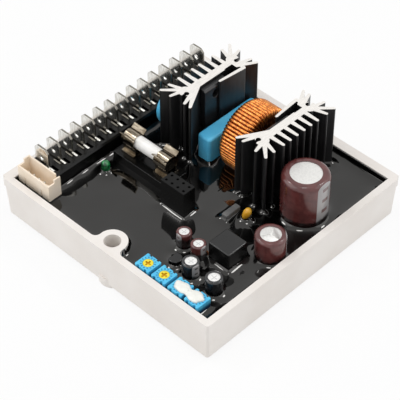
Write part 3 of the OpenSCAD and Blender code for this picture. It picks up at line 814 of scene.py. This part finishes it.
def add_object(name: str, data: bpy.types.ID) -> bpy.types.Object:
    """Link a new object that holds a mesh, a lamp or a camera.

    Args:
        name: Name of the new object.
        data: The mesh, lamp or camera.

    Returns:
        The object.
    """
    made = bpy.data.objects.new(name, data)
    bpy.context.scene.collection.objects.link(made)
    return made


def smooth(mesh: bpy.types.Mesh) -> None:
    """Shade every face of a mesh smooth."""
    mesh.polygons.foreach_set("use_smooth", np.ones(len(mesh.polygons), bool))


def close_below(piece: bpy.types.Object, floor: float) -> None:
    """Close an open sheet: walls drop from its free edges to a flat underside.

    Args:
        piece: The sheet.
        floor: Height of the underside.
    """
    form = bmesh.new()
    form.from_mesh(piece.data)
    rim = [edge for edge in form.edges if edge.is_boundary]
    made = bmesh.ops.extrude_edge_only(form, edges=rim)["geom"]
    lower = [item for item in made if isinstance(item, bmesh.types.BMVert)]
    flatten = Matrix.Translation((0, 0, floor * MM)) @ Matrix.Scale(0, 4, (0, 0, 1))
    bmesh.ops.transform(form, matrix=flatten, verts=lower)
    loops = [edge for edge in form.edges if edge.is_boundary]
    filled = bmesh.ops.triangle_fill(form, edges=loops, use_beauty=False)["geom"]
    sides = [item for item in made + filled if isinstance(item, bmesh.types.BMFace)]
    for face in sides:
        face.smooth = False
    bmesh.ops.recalc_face_normals(form, faces=form.faces)
    form.to_mesh(piece.data)
    form.free()


@dataclass
class Workshop:
    """Keeps the loaded frame and fits each piece to it. Angles are in degrees."""

    frame: dict[str, Any]
    slots: dict[str, str] = field(init=False)
    owners: dict[str, str] = field(init=False)
    made: dict[str, bpy.types.Material] = field(init=False, default_factory=dict)
    merge_m: float = 3e-6
    flat_angle: float = 0.6
    edge_angle: float = 28.0
    edge_segments: int = 2
    sharp_eased: float = 44.0
    sharp_plain: float = 62.0
    normal_weight: int = 80

    def __post_init__(self) -> None:
        """Read which slot and which body each node belongs to."""
        record = self.frame["record"]
        self.slots = {entry["node"]: entry["material_slot"] for entry in record["subparts"]}
        bodies = record["behaviour"]["bodies"]
        self.owners = {node: body for body, nodes in bodies.items() for node in nodes}

    def dress(self, piece: bpy.types.Object, finish: Finish) -> None:
        """Give a piece its material, building each finish once.

        Args:
            piece: The piece.
            finish: Its finish.
        """
        if finish.name not in self.made:
            self.made[finish.name] = finish.material()
        piece.data.materials.clear()
        piece.data.materials.append(self.made[finish.name])

    def fit(self, piece: bpy.types.Object, node: str, finish: Finish | None = None) -> None:
        """Let a piece stand for a node: it rides on the node's body and takes its slot and finish.

        Args:
            piece: The new piece.
            node: Name of the node that it replaces.
            finish: Finish to use in place of the slot's own.
        """
        slot = self.slots[node]
        self.dress(piece, finish or FINISHES[slot])
        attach(piece, self.owners[node])
        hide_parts(node)
        LOG.info("%s stands for %s", piece.name, node)

    def box(self, node: str) -> tuple[np.ndarray, np.ndarray]:
        """Lowest and highest corner of a node."""
        low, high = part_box(node)
        return np.array(low) / MM, np.array(high) / MM

    def top(self, node: str) -> float:
        """Height of a node's highest point."""
        return float(self.box(node)[1][2])

    def upright(self, node: str) -> Triple:
        """Find where the upright axis through a node's middle meets the floor.

        Args:
            node: Name of the node.

        Returns:
            The point, in metres.
        """
        low, high = self.box(node)
        middle = (low + high) / 2 * MM
        return (float(middle[0]), float(middle[1]), 0.0)

    def carry(
        self, node: str, width: float, finish: Finish | None = None, sharp: float | None = None
    ) -> None:
        """Carry a node's solid over with its triangles merged and its edges eased.

        Args:
            node: Name of the node.
            width: Width of the eased edge, or 0 for none.
            finish: Finish to use in place of the slot's own.
            sharp: Angle above which an edge still shows as sharp, or None for the usual one.
        """
        form = bmesh.new()
        form.from_mesh(self.frame["nodes"][node].data)
        bmesh.ops.remove_doubles(form, verts=form.verts, dist=self.merge_m)
        flat = math.radians(self.flat_angle)
        bmesh.ops.dissolve_limit(form, angle_limit=flat, verts=form.verts, edges=form.edges)
        if width:
            limit = math.radians(self.edge_angle)
            bmesh.ops.bevel(
                form,
                geom=[edge for edge in form.edges if edge.is_manifold and edge.calc_face_angle(0) > limit],
                offset=width * MM,
                offset_type="OFFSET",
                segments=self.edge_segments,
                profile=0.5,
                affect="EDGES",
                clamp_overlap=True,
            )
        mesh = bpy.data.meshes.new(node + "_eased")
        form.to_mesh(mesh)
        form.free()
        smooth(mesh)
        usual = self.sharp_eased if width else self.sharp_plain
        mesh.set_sharp_from_angle(angle=math.radians(sharp or usual))
        piece = add_object(node + "_eased", mesh)
        even = piece.modifiers.new("even_normals", "WEIGHTED_NORMAL")
        even.keep_sharp = True
        even.weight = self.normal_weight
        self.fit(piece, node, finish)


@dataclass
class ResinPool:
    """The cast resin's surface, which climbs the walls and every part that stands in it.

    A share of the full climb goes with each square part. A wave is its wave numbers per millimetre
    along X and Y and its phase.
    """

    shop: Workshop
    x: np.ndarray = field(init=False)
    y: np.ndarray = field(init=False)
    step: float = 0.32
    step_margins: Pair = (0.4, 0.2)
    climb: float = 1.0
    reach: float = 1.4
    overlap: float = 0.4
    clear: float = 0.3
    sharing: int = 4
    film_reach: float = 0.07
    film_stop: float = 0.22
    skin: float = 1.0
    boss_radius: float = 5.0
    boss_cut: float = 4.0
    outline_margin: float = 4.0
    top_depth: float = 0.01
    far: float = 99.0
    patchiness: float = 0.1
    patches: tuple[Triple, ...] = ((0.5, 0.3, 0.0), (-0.45, 0.35, 0.5))
    swell: float = 0.03
    swell_fade: float = 2.0
    swells: tuple[Triple, ...] = (
        (1 / 3.1, 0.0, 0.7), (0.0, 1 / 4.3, 0.0), (1 / 5.7, -1 / 3.9, 0.0), (0.0, 1 / 2.9, 0.0)
    )
    near_wall: tuple[float, ...] = (0.02, 0.05, 0.09, 0.14, 0.22, 0.34, 0.55, 0.85, 1.2)
    square_parts: dict[str, float] = field(
        default_factory=lambda: {
            "fuse_holder": 0.08,
            "pin_socket": 0.9,
            "film_capacitor": 1.0,
            "power_inductor": 0.9,
            "resistor_network": 0.9,
            "terminal_block": 1.0,
            "connector_housing": 0.5,
            **{f"trimmer_{number}": 0.5 for number in range(1, 5)},
        }
    )
    round_parts: tuple[str, ...] = (
        "bulk_sleeve", "smoothing_sleeve", "small_sleeve_1", "small_sleeve_2", "small_sleeve_3",
        "small_sleeve_4", "small_transistor", "status_led", "drop_capacitor",
    )

    def __post_init__(self) -> None:
        """Lay a grid over the pool's plan."""
        low, high = self.shop.box("potting")
        lines = (self.lines(low[0], high[0]), self.lines(low[1], high[1]))
        self.x, self.y = np.meshgrid(*lines, indexing="ij")

    def lines(self, low: float, high: float) -> np.ndarray:
        """Grid lines between two walls, close together beside each wall.

        Args:
            low: Place of the first wall.
            high: Place of the second wall.

        Returns:
            The places of the lines.
        """
        edge = np.array(self.near_wall)
        first = low + edge[-1] + self.step_margins[0]
        last = high - edge[-1] - self.step_margins[1]
        return np.concatenate([low + edge, np.arange(first, last, self.step), high - edge[::-1]])

    def rise(self, distance: np.ndarray, room: float) -> np.ndarray:
        """Height of the meniscus against a part.

        It falls off exponentially outside the part, goes on rising a little way inside it, so that
        no kink shows at the part's wall, and then drops again out of sight.

        Args:
            distance: Distance from the part's wall, negative inside it.
            room: Height of the part above the resin, which the rise stays under.

        Returns:
            The height at each place.
        """
        outside = self.climb * np.exp(-np.maximum(distance, -self.overlap) / self.reach)
        inside = np.exp(np.minimum(distance + self.overlap, 0) / self.overlap)
        return np.minimum(outside * inside, max(room - self.clear, 0.0))

    def outline(self, node: str) -> np.ndarray:
        """Outline of an upright extrusion as pairs of points in plan.

        An edge of the top face is on the outline when only one triangle has it.

        Args:
            node: Name of the extruded node.

        Returns:
            Both ends of each edge.
        """
        mesh = self.shop.frame["nodes"][node].data
        places = np.empty(len(mesh.vertices) * 3)
        mesh.vertices.foreach_get("co", places)
        places = (places.reshape(-1, 3) / MM).round(3)
        corners = np.empty(len(mesh.loops), int)
        mesh.loops.foreach_get("vertex_index", corners)
        faces = places[corners.reshape(-1, 3)]
        upper = faces[:, :, 2] > places[:, 2].max() - self.top_depth
        top = faces[upper.all(axis=1)][:, :, :2]
        edges = np.concatenate([top[:, [0, 1]], top[:, [1, 2]], top[:, [2, 0]]])
        back = (edges[:, 0, 0] > edges[:, 1, 0]) | (
            (edges[:, 0, 0] == edges[:, 1, 0]) & (edges[:, 0, 1] > edges[:, 1, 1])
        )
        edges[back] = edges[back][:, ::-1]
        single, count = np.unique(edges.reshape(-1, 4), axis=0, return_counts=True)
        return single[count == 1].reshape(-1, 2, 2)

    def outline_distance(self, node: str) -> np.ndarray:
        """Distance from the section of an upright extrusion, negative inside it.

        The distance is that to the nearest point of any edge of the outline. A place is inside
        when a line from it towards +X crosses the outline an odd number of times.

        Args:
            node: Name of the extruded node.

        Returns:
            The distance at each place, large outside the node's surroundings.
        """
        edges = self.outline(node)
        low = edges.min(axis=(0, 1)) - self.outline_margin
        high = edges.max(axis=(0, 1)) + self.outline_margin
        near = (self.x > low[0]) & (self.x < high[0]) & (self.y > low[1]) & (self.y < high[1])
        spots = np.stack([self.x[near], self.y[near]], axis=-1)[:, None]
        first = edges[None, :, 0]
        along = edges[None, :, 1] - first
        share = ((spots - first) * along).sum(axis=-1) / (along**2).sum(axis=-1)
        gap = spots - first - np.clip(share, 0, 1)[..., None] * along
        distance = np.sqrt((gap**2).sum(axis=-1).min(axis=1))
        spans = (first[..., 1] > spots[..., 1]) != (edges[None, :, 1, 1] > spots[..., 1])
        slope = along[..., 0] / np.where(along[..., 1] == 0, 1.0, along[..., 1])
        beyond = first[..., 0] + (spots[..., 1] - first[..., 1]) * slope > spots[..., 0]
        inside = (spans & beyond).sum(axis=1) % 2 == 1
        found = np.full(self.x.shape, self.far)
        found[near] = np.where(inside, -distance, distance)
        return found

    def box_distance(self, low: np.ndarray, high: np.ndarray) -> np.ndarray:
        """Distance from a rectangle in plan, negative inside it.

        Args:
            low: Lowest corner.
            high: Highest corner.

        Returns:
            The distance at each place.
        """
        away_x = np.maximum(low[0] - self.x, self.x - high[0])
        away_y = np.maximum(low[1] - self.y, self.y - high[1])
        outside = np.hypot(np.maximum(away_x, 0), np.maximum(away_y, 0))
        return outside + np.minimum(np.maximum(away_x, away_y), 0)

    def meniscus(self) -> np.ndarray:
        """Rise at each place: the fourth root of the summed fourth powers of every part's rise.

        The choke counts as the rectangle in which its ring passes through the resin's level.

        Returns:
            The rise at each place.
        """
        level = self.shop.top("potting")
        total = np.zeros(self.x.shape)
        for node, share in self.square_parts.items():
            low, high = self.shop.box(node)
            rise = share * self.rise(self.box_distance(low, high), high[2] - level)
            total += rise**self.sharing
        for node in self.round_parts:
            low, high = self.shop.box(node)
            middle = (low + high) / 2
            away = np.hypot(self.x - middle[0], self.y - middle[1]) - (high[0] - low[0]) / 2
            total += self.rise(away, high[2] - level) ** self.sharing
        for node in HEATSINKS:
            room = self.shop.top(node) - level
            total += self.rise(self.outline_distance(node), room) ** self.sharing
        low, high = self.shop.box("choke_winding")
        middle = (low + high) / 2
        half_x = math.sqrt(((high[0] - low[0]) / 2) ** 2 - (middle[2] - level) ** 2)
        low[0] = middle[0] - half_x
        high[0] = middle[0] + half_x
        total += self.rise(self.box_distance(low, high), high[2] - level) ** self.sharing
        return total ** (1 / self.sharing)

    def build(self) -> None:
        """Work the pool out as a height over a plan grid and close it with a flat underside.

        The height is the level, plus the meniscus, plus a film that runs up the walls and bosses
        almost to the rim, plus a faint swell made of slow waves.
        """
        low, high = self.shop.box("potting")
        rim = self.shop.top("tray")
        x = self.x
        y = self.y
        wall = np.minimum(np.minimum(x - low[0], high[0] - x), np.minimum(y - low[1], high[1] - y))
        bolt = next(m for m in self.shop.frame["record"]["mounts"] if m["name"] == "mounting_holes")
        half = bolt["dims"]["spacing_x_mm"] / 2
        centre = np.array(bolt["pos_m"]) / MM
        boss = np.minimum(
            np.hypot(x - centre[0] + half, y - centre[1]), np.hypot(x - centre[0] - half, y - centre[1])
        )
        side = np.minimum(wall, np.maximum(boss - self.boss_radius, 0))
        patch = [np.sin(a * x + b * y + phase) for a, b, phase in self.patches]
        uneven = 1 + self.patchiness * patch[0] * patch[1]
        rise = np.maximum(self.meniscus() * uneven, self.rise(side, rim - high[2]))
        film = (rim - self.film_stop - high[2] - self.climb) * np.exp(-((side / self.film_reach) ** 2))
        wave = [np.sin(a * x + b * y + phase) for a, b, phase in self.swells]
        swell = self.swell * (wave[0] * wave[1] + wave[2] + wave[3])
        height = high[2] + rise + film + swell * np.clip(side / self.swell_fade, 0, 1)
        points = np.stack([x, y, height], axis=-1)
        inside = boss < self.boss_cut
        keep = ~(inside[:-1, :-1] & inside[1:, 1:] & inside[1:, :-1] & inside[:-1, 1:])
        piece = surface("resin_pool", points, keep=keep)
        close_below(piece, float(high[2]) - self.skin)
        self.shop.fit(piece, "potting")


@dataclass
class Choke:
    """One wire wound round a ring core, turn beside turn.

    Core_radial is the core's thickness from its outside to its hole. Turns crowd from crowd_start
    inwards, as shares of half a turn's depth, and there each layer is lifted and widened.
    """

    shop: Workshop
    turns: int = 60
    wire: float = 1.2
    corner: float = 2.1
    flat_points: int = 3
    corner_points: int = 6
    sides: int = 8
    core_radial: float = 6.6
    ring_depth: float = 4.2
    layers: int = 3
    layer_lift: float = 0.496
    layer_widening: float = 0.04
    crowd_start: float = 0.2
    crowd_span: float = 1.2

    def section(self, half_radial: float, half_width: float) -> np.ndarray:
        """One turn's path round the core: a rectangle with round corners, as points by two axes.

        Args:
            half_radial: Half the turn's size along the ring's radius.
            half_width: Half the turn's size along the ring's axis.

        Returns:
            The points, one arc and the flat after it for each corner in turn.
        """
        inner = np.array([half_radial - self.corner, half_width - self.corner])
        signs = np.array([[1, 1], [-1, 1], [-1, -1], [1, -1]])
        sweep = np.linspace(0, math.pi / 2, self.corner_points)
        start = np.arange(4)[:, None] * math.pi / 2
        arcs = np.stack([np.cos(start + sweep), np.sin(start + sweep)], axis=-1) * self.corner
        corners = arcs + (signs * inner)[:, None, :]
        mix = np.linspace(0, 1, self.flat_points + 2)[None, 1:-1, None]
        flats = corners[:, -1:] * (1 - mix) + np.roll(corners, -1, axis=0)[:, :1] * mix
        return np.concatenate([corners, flats], axis=1).reshape(-1, 2)

    def path(self) -> np.ndarray:
        """Centre line of the wire in the choke's own axes: radius and width carried round the ring.

        The angle round the ring grows steadily along the wire, and towards the hole each turn is
        lifted by its layer, because the turns crowd there.

        Returns:
            The points of the line.
        """
        low, high = self.shop.box("choke_winding")
        core_low, core_high = self.shop.box("choke_core")
        outer = (high[0] - low[0]) / 2 - self.wire / 2
        inner = (core_high[0] - core_low[0]) / 2 - self.core_radial - self.wire / 2
        half_radial = (outer - inner) / 2
        turn = self.section(half_radial, (high[1] - low[1]) / 2 - self.wire / 2)
        count = len(turn)
        index = np.arange(self.turns * count)
        spot = turn[index % count]
        layer = (index // count) % self.layers
        crowd = np.clip((self.crowd_start - spot[:, 0] / half_radial) / self.crowd_span, 0, 1) * layer
        radius = (outer + inner) / 2 + spot[:, 0] - crowd * self.layer_lift
        width = spot[:, 1] * (1 + crowd * self.layer_widening)
        angle = 2 * math.pi * index / len(index)
        return np.stack([radius * np.cos(angle), width, radius * np.sin(angle)], axis=-1)

    def build(self) -> None:
        """Carry a round section along the wire's centre line.

        At each point the section's plane is square to the wire: one of its axes is the outward
        direction with the part along the wire taken away, and the other is their cross product.
        """
        low, high = self.shop.box("choke_winding")
        line = self.path()
        along = np.roll(line, -1, axis=0) - np.roll(line, 1, axis=0)
        along /= np.linalg.norm(along, axis=1, keepdims=True)
        flat = line * np.array([1.0, 0.0, 1.0])
        ring = flat / np.linalg.norm(flat, axis=1, keepdims=True)
        out = line - ring * ((high[0] - low[0]) / 2 - self.ring_depth)
        out -= (out * along).sum(axis=1, keepdims=True) * along
        out /= np.linalg.norm(out, axis=1, keepdims=True)
        across = np.cross(along, out)
        turn = np.linspace(0, 2 * math.pi, self.sides, endpoint=False)[None, :, None]
        rim = np.cos(turn) * out[:, None] + np.sin(turn) * across[:, None]
        tube = line[:, None] + rim * self.wire / 2
        piece = surface("wound_wire", tube + (low + high) / 2, True, True)
        self.shop.fit(piece, "choke_winding")


@dataclass
class SealingPaint:
    """Paint dabbed on two trimmers, run together across the gap between them.

    An edge wave is its count round the outline, its phase and its depth.
    """

    shop: Workshop
    rows: int = 14
    columns: int = 96
    waist: float = 0.42
    waist_length: float = 0.26
    edge_waves: tuple[Triple, ...] = ((3, 0.6, 0.05), (7, 1.9, 0.04))
    squareness: float = 0.75
    crown_power: int = 4
    waist_height: float = 0.62
    lobe_power: float = 0.8

    def build(self) -> None:
        """Work the paint out over a peanut-shaped outline.

        A point of the outline is half the length times the sine and half the width times a power
        of the cosine of its angle, drawn in at the waist and made uneven by two waves. The height
        falls from the middle to the edge as the root of one minus the fourth power.
        """
        low, high = self.shop.box("sealing_paint")
        middle = (low + high) / 2
        half = (high - low) / 2
        angle = np.linspace(0, 2 * math.pi, self.columns, endpoint=False)
        dents = [depth * (1 + np.sin(count * angle + phase)) for count, phase, depth in self.edge_waves]
        uneven = 1 - dents[0] - dents[1]
        long = half[1] * np.sin(angle) * uneven
        narrow = 1 - self.waist * np.exp(-((long / (self.waist_length * half[1])) ** 2))
        bulge = np.sign(np.cos(angle)) * np.abs(np.cos(angle)) ** self.squareness
        wide = half[0] * bulge * narrow * uneven
        up = np.linspace(0, 1, self.rows)
        share = np.concatenate([up, up[::-1][1:]])[:, None]
        crown = (high[2] - low[2]) * np.sqrt(np.clip(1 - up**self.crown_power, 0, 1))
        lobes = self.waist_height + (1 - self.waist_height) * np.abs(np.sin(angle)) ** self.lobe_power
        height = np.concatenate([crown, np.zeros(self.rows - 1)])[:, None] * lobes[None, :]
        points = np.stack([middle[0] + share * wide, middle[1] + share * long, low[2] + height], axis=-1)
        piece = surface("paint_dabs", points, False, True)
        self.shop.fit(piece, "sealing_paint")


@dataclass
class DippedCapacitor:
    """Bead of yellow epoxy that leans over on its leads. Angles are in degrees."""

    shop: Workshop
    lean: float = 26.0
    toward: float = -45.0
    half_height: float = 2.4
    half_width: float = 1.3
    half_depth: float = 1.4
    taper: float = 0.2
    rows: int = 28
    columns: int = 32

    def build(self) -> None:
        """Work the bead out as an egg about its leaning axis.

        Along the axis the section grows as the root of one minus the square of the height, and is
        drawn in towards the leads by a share of the height.
        """
        low, high = self.shop.box("drop_capacitor")
        lean = math.radians(self.lean)
        toward = math.radians(self.toward)
        over = np.array([math.cos(toward), math.sin(toward), 0.0])
        axis = math.sin(lean) * over + np.array([0.0, 0.0, math.cos(lean)])
        depth = np.array([-math.sin(toward), math.cos(toward), 0.0])
        width = np.cross(depth, axis)
        rise = np.linspace(0, math.pi, self.rows)[:, None]
        turn = np.linspace(0, 2 * math.pi, self.columns, endpoint=False)[None, :]
        height = -np.cos(rise) + 0 * turn
        girth = np.sin(rise) * (1 + self.taper * height)
        upright = math.hypot(self.half_height * math.cos(lean), self.half_width * math.sin(lean))
        middle = (low + high) / 2
        middle[2] = high[2] - upright
        points = (
            middle
            + (height * self.half_height)[..., None] * axis
            + (girth * np.cos(turn) * self.half_width)[..., None] * width
            + (girth * np.sin(turn) * self.half_depth)[..., None] * depth
        )
        piece = surface("dipped_bead", points, False, True)
        self.shop.fit(piece, "drop_capacitor")


@dataclass
class Sleeves:
    """The capacitors' shrunk sleeves with their polarity stripes.

    A stripe is the side that it faces and half its width, in degrees, and the height above the resin's
    level below which the sleeve is darker.
    """

    shop: Workshop
    maroon: tuple[Colour, Colour] = (shade(102, 54, 52), shade(82, 40, 39))
    black: tuple[Colour, Colour] = (shade(34, 34, 36), shade(22, 22, 24))
    pale: Colour = shade(160, 157, 157)
    dashes: int = 5
    rim_ease: float = 0.05
    rim_sharp: float = 60.0
    stripes: dict[str, Triple] = field(
        default_factory=lambda: {
            "bulk_sleeve": (-87.0, 23.0, 3.1),
            "smoothing_sleeve": (-40.0, 26.0, 2.3),
            "small_sleeve_1": (178.0, 28.0, 4.7),
            "small_sleeve_2": (-91.0, 29.0, 3.9),
            "small_sleeve_3": (-101.0, 28.0, 2.4),
            "small_sleeve_4": (20.0, 36.0, 2.4),
        }
    )

    def build(self) -> None:
        """Ease each sleeve's rim and give it its own stripe, turned to the side that it faces."""
        level = self.shop.top("potting")
        for node, (facing, half_width, dark_below) in self.stripes.items():
            low, high = self.shop.box(node)
            light, dark = self.black if self.shop.slots[node] == "black_sleeve" else self.maroon
            finish = Sleeve(
                node,
                light,
                dark,
                stripe=self.pale,
                centre=self.shop.upright(node),
                radius=(high[0] - low[0]) / 2,
                facing=math.radians(facing),
                half_width=math.radians(half_width),
                dash_pitch=(high[2] - low[2]) / self.dashes,
                dark_below=level + dark_below,
            )
            self.shop.carry(node, self.rim_ease, finish, self.rim_sharp)


@dataclass
class CarriedSolids:
    """Solids whose shape is right: they are carried over with eased edges and better finishes.

    An ease is the width of a solid's eased edges, or 0 where its edges are round already.
    """

    shop: Workshop
    ease: dict[str, float] = field(
        default_factory=lambda: {
            "tray": 0.28,
            "terminal_block": 0.12,
            "connector_pins": 0.1,
            "fuse_holder": 0.25,
            "fuse_clips": 0.06,
            "fuse_tube": 0.15,
            "fuse_caps": 0.1,
            "pin_socket": 0.12,
            "power_device_rear": 0.16,
            "power_device_front": 0.16,
            "film_capacitor": 0.0,
            "varistor": 0.0,
            "status_led": 0.08,
            "bulk_capacitor": 0.0,
            "smoothing_capacitor": 0.04,
        }
    )
    network: Finish = Moulding("worn_epoxy", shade(118, 118, 117), shade(92, 92, 92), (0.5, 0.12))
    dome: Finish = Moulding("wet_epoxy", shade(22, 22, 22), shade(14, 14, 14), (0.12, 0.06))
    dome_ease: float = 0.6
    header_ease: float = 0.12
    header_film: float = 1.4
    tabs: int = 15
    tab_ease: float = 0.1
    tab_half: float = 0.4
    tab_width: float = 6.3
    hole_drop: float = 4.4
    hole_radius: float = 0.9
    small_cans: int = 4
    score_share: float = 0.24
    trimmers: int = 4
    trimmer_ease: float = 0.12
    rotor_ease: float = 0.07
    fin_ease: float = 0.12
    hidden: tuple[str, ...] = ("circuit_board", "choke_core")

    def carry_tabs(self) -> None:
        """Carry the row of tabs over with one finish that tells their faces from their edges."""
        first = self.shop.box("terminal_1")[1]
        second = self.shop.box("terminal_2")[1]
        finish = Blade(
            "tin_plate_tabs",
            first=float(first[0]) - self.tab_half,
            pitch=float(second[0] - first[0]),
            half=self.tab_half,
            low=self.shop.top("terminal_block"),
            hole=(float(first[1]) - self.tab_width / 2, float(first[2]) - self.hole_drop, self.hole_radius),
        )
        for number in range(1, self.tabs + 1):
            self.shop.carry(f"terminal_{number}", self.tab_ease, finish)

    def carry_cans(self) -> None:
        """Carry the small cans over with a cross scored in their ends."""
        for number in range(1, self.small_cans + 1):
            node = f"small_capacitor_{number}"
            low, high = self.shop.box(node)
            reach = float(high[0] - low[0]) * self.score_share
            finish = CanEnd(node + "_end", centre=self.shop.upright(node), reach=reach)
            self.shop.carry(node, 0.0, finish)

    def carry_trimmers(self) -> None:
        """Carry the trimmers over with scale marks round each rotor."""
        for number in range(1, self.trimmers + 1):
            body = f"trimmer_{number}"
            rotor = f"rotor_{number}"
            axis = self.shop.upright(rotor)
            marked = TrimmerBody(body + "_blue", centre=axis, top=self.shop.top(body))
            self.shop.carry(body, self.trimmer_ease, marked)
            self.shop.carry(rotor, self.rotor_ease, Dial("rotor_yellow", top=self.shop.top(rotor)))

    def build(self) -> None:
        """Carry each solid over; the board and the core stay as they are, hidden by the rest."""
        for node, width in self.ease.items():
            self.shop.carry(node, width)
        self.shop.carry("resistor_network", 0.0, self.network)
        self.shop.carry("small_transistor", self.dome_ease, self.dome)
        self.shop.carry("power_inductor", 0.0, self.dome)
        dark_below = self.shop.top("potting") + self.header_film
        self.shop.carry("connector_housing", self.header_ease, Header("cream_header", dark_below=dark_below))
        self.carry_tabs()
        self.carry_cans()
        self.carry_trimmers()
        for node in HEATSINKS:
            self.shop.carry(node, self.fin_ease, Anodised("black_anodised", top=self.shop.top(node)))
        for node in self.hidden:
            self.shop.dress(self.shop.frame["nodes"][node], FINISHES[self.shop.slots[node]])


@dataclass(frozen=True)
class Lamp:
    """A round soft lamp: its place and width in metres and its power in watts."""

    place: Triple
    size: float
    power: float


@dataclass
class Studio:
    """Pale floor, white surround, soft lamps and the camera at the photograph's angle."""

    azimuth: float = -45.795
    elevation: float = 44.426
    distance: float = 516.6
    target: Triple = (-7.97, -7.36, 16.3)
    lens: float = 146.15
    sensor: float = 36.0
    clip_m: float = 0.01
    floor_half: float = 1500.0
    paper: tuple[Colour, Colour] = (shade(236, 236, 236), shade(242, 242, 242))
    paper_grain: Grain = Grain(60.0, 2.0)
    glow_share: float = 0.88
    world_light: float = 0.58
    lamps: tuple[Lamp, ...] = (
        Lamp((0.0, 0.0, 0.98), 0.16, 0.72),
        Lamp((0.52, -0.15, 0.84), 0.16, 0.9),
        Lamp((-0.15, 0.52, 0.84), 0.16, 0.9),
        Lamp((0.56, -0.66, 0.62), 1.1, 2.55),
        Lamp((-0.68, 0.49, 0.62), 1.1, 3.25),
    )

    def seen(self, shader: Shader, *kinds: Ray) -> Socket:
        """1 for rays of these kinds and 0 for all others."""
        flags = [shader.node("ShaderNodeLightPath", output=kind.value) for kind in kinds]
        return sum(flags[1:], flags[0]).step(0.0, 1.0)

    def floor(self) -> None:
        """A wide plain floor that keeps the shadow and shows as near white."""
        side = np.linspace(-self.floor_half, self.floor_half, 3)
        x, y = np.meshgrid(side, side, indexing="ij")
        plane = surface("floor", np.stack([x, y, 0 * x], axis=-1), keep=np.ones((2, 2), bool))
        shader = Shader(bpy.data.materials.new("floor_paper"))
        colour = shader.blend(shader.noise(self.paper_grain), *self.paper)
        paper = shader.node("ShaderNodeBsdfDiffuse", None, {"Color": colour})
        glow = shader.node("ShaderNodeEmission", None, {"Strength": 1.0})
        share = self.seen(shader, Ray.CAMERA, Ray.GLOSSY, Ray.TRANSMISSION) * self.glow_share
        shader.close(shader.node("ShaderNodeMixShader", None, {0: share, 1: paper, 2: glow}))
        plane.data.materials.append(shader.owner)

    def surround(self) -> None:
        """White where it is seen, and a dimmer even light on the object."""
        shader = Shader(bpy.data.worlds.new("surround"))
        bpy.context.scene.world = shader.owner
        seen = self.seen(shader, Ray.CAMERA, Ray.GLOSSY)
        strength = seen * (1 - self.world_light) + self.world_light
        glow = shader.node("ShaderNodeBackground", None, {"Color": WHITE, "Strength": strength})
        shader.close(glow, "ShaderNodeOutputWorld")

    def light(self) -> None:
        """Large soft lamps round the object, each aimed at its middle."""
        for number, lamp in enumerate(self.lamps):
            data = bpy.data.lights.new(f"soft_lamp_{number}", "AREA")
            data.shape = "DISK"
            data.size = lamp.size
            data.energy = lamp.power
            holder = add_object(data.name, data)
            holder.location = lamp.place
            holder.rotation_euler = (-Vector(lamp.place)).to_track_quat("-Z", "Y").to_euler()

    def camera(self) -> None:
        """A long lens at the photograph's angle, aimed at the middle of its frame."""
        turn = math.radians(self.azimuth)
        tilt = math.radians(self.elevation)
        back = Vector((math.sin(turn) * math.cos(tilt), -math.cos(turn) * math.cos(tilt), math.sin(tilt)))
        data = bpy.data.cameras.new("camera")
        data.sensor_width = self.sensor
        data.sensor_fit = "HORIZONTAL"
        data.lens = self.lens
        data.clip_start = self.clip_m
        eye = add_object("camera", data)
        eye.location = (Vector(self.target) + back * self.distance) * MM
        eye.rotation_euler = (-back).to_track_quat("-Z", "Y").to_euler()
        bpy.context.scene.camera = eye

    def build(self) -> None:
        """Set up the stage, the light and the camera."""
        bpy.context.scene.view_settings.view_transform = "Standard"
        self.camera()
        self.floor()
        self.surround()
        self.light()


def main() -> None:
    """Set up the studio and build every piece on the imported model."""
    logging.basicConfig(level=logging.INFO, format="%(name)s: %(message)s")
    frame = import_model()
    shop = Workshop(frame)
    Studio().build()
    parts = (CarriedSolids, Sleeves, ResinPool, Choke, SealingPaint, DippedCapacitor)
    for part in parts:
        part(shop).build()


if __name__ == "__main__":
    main()
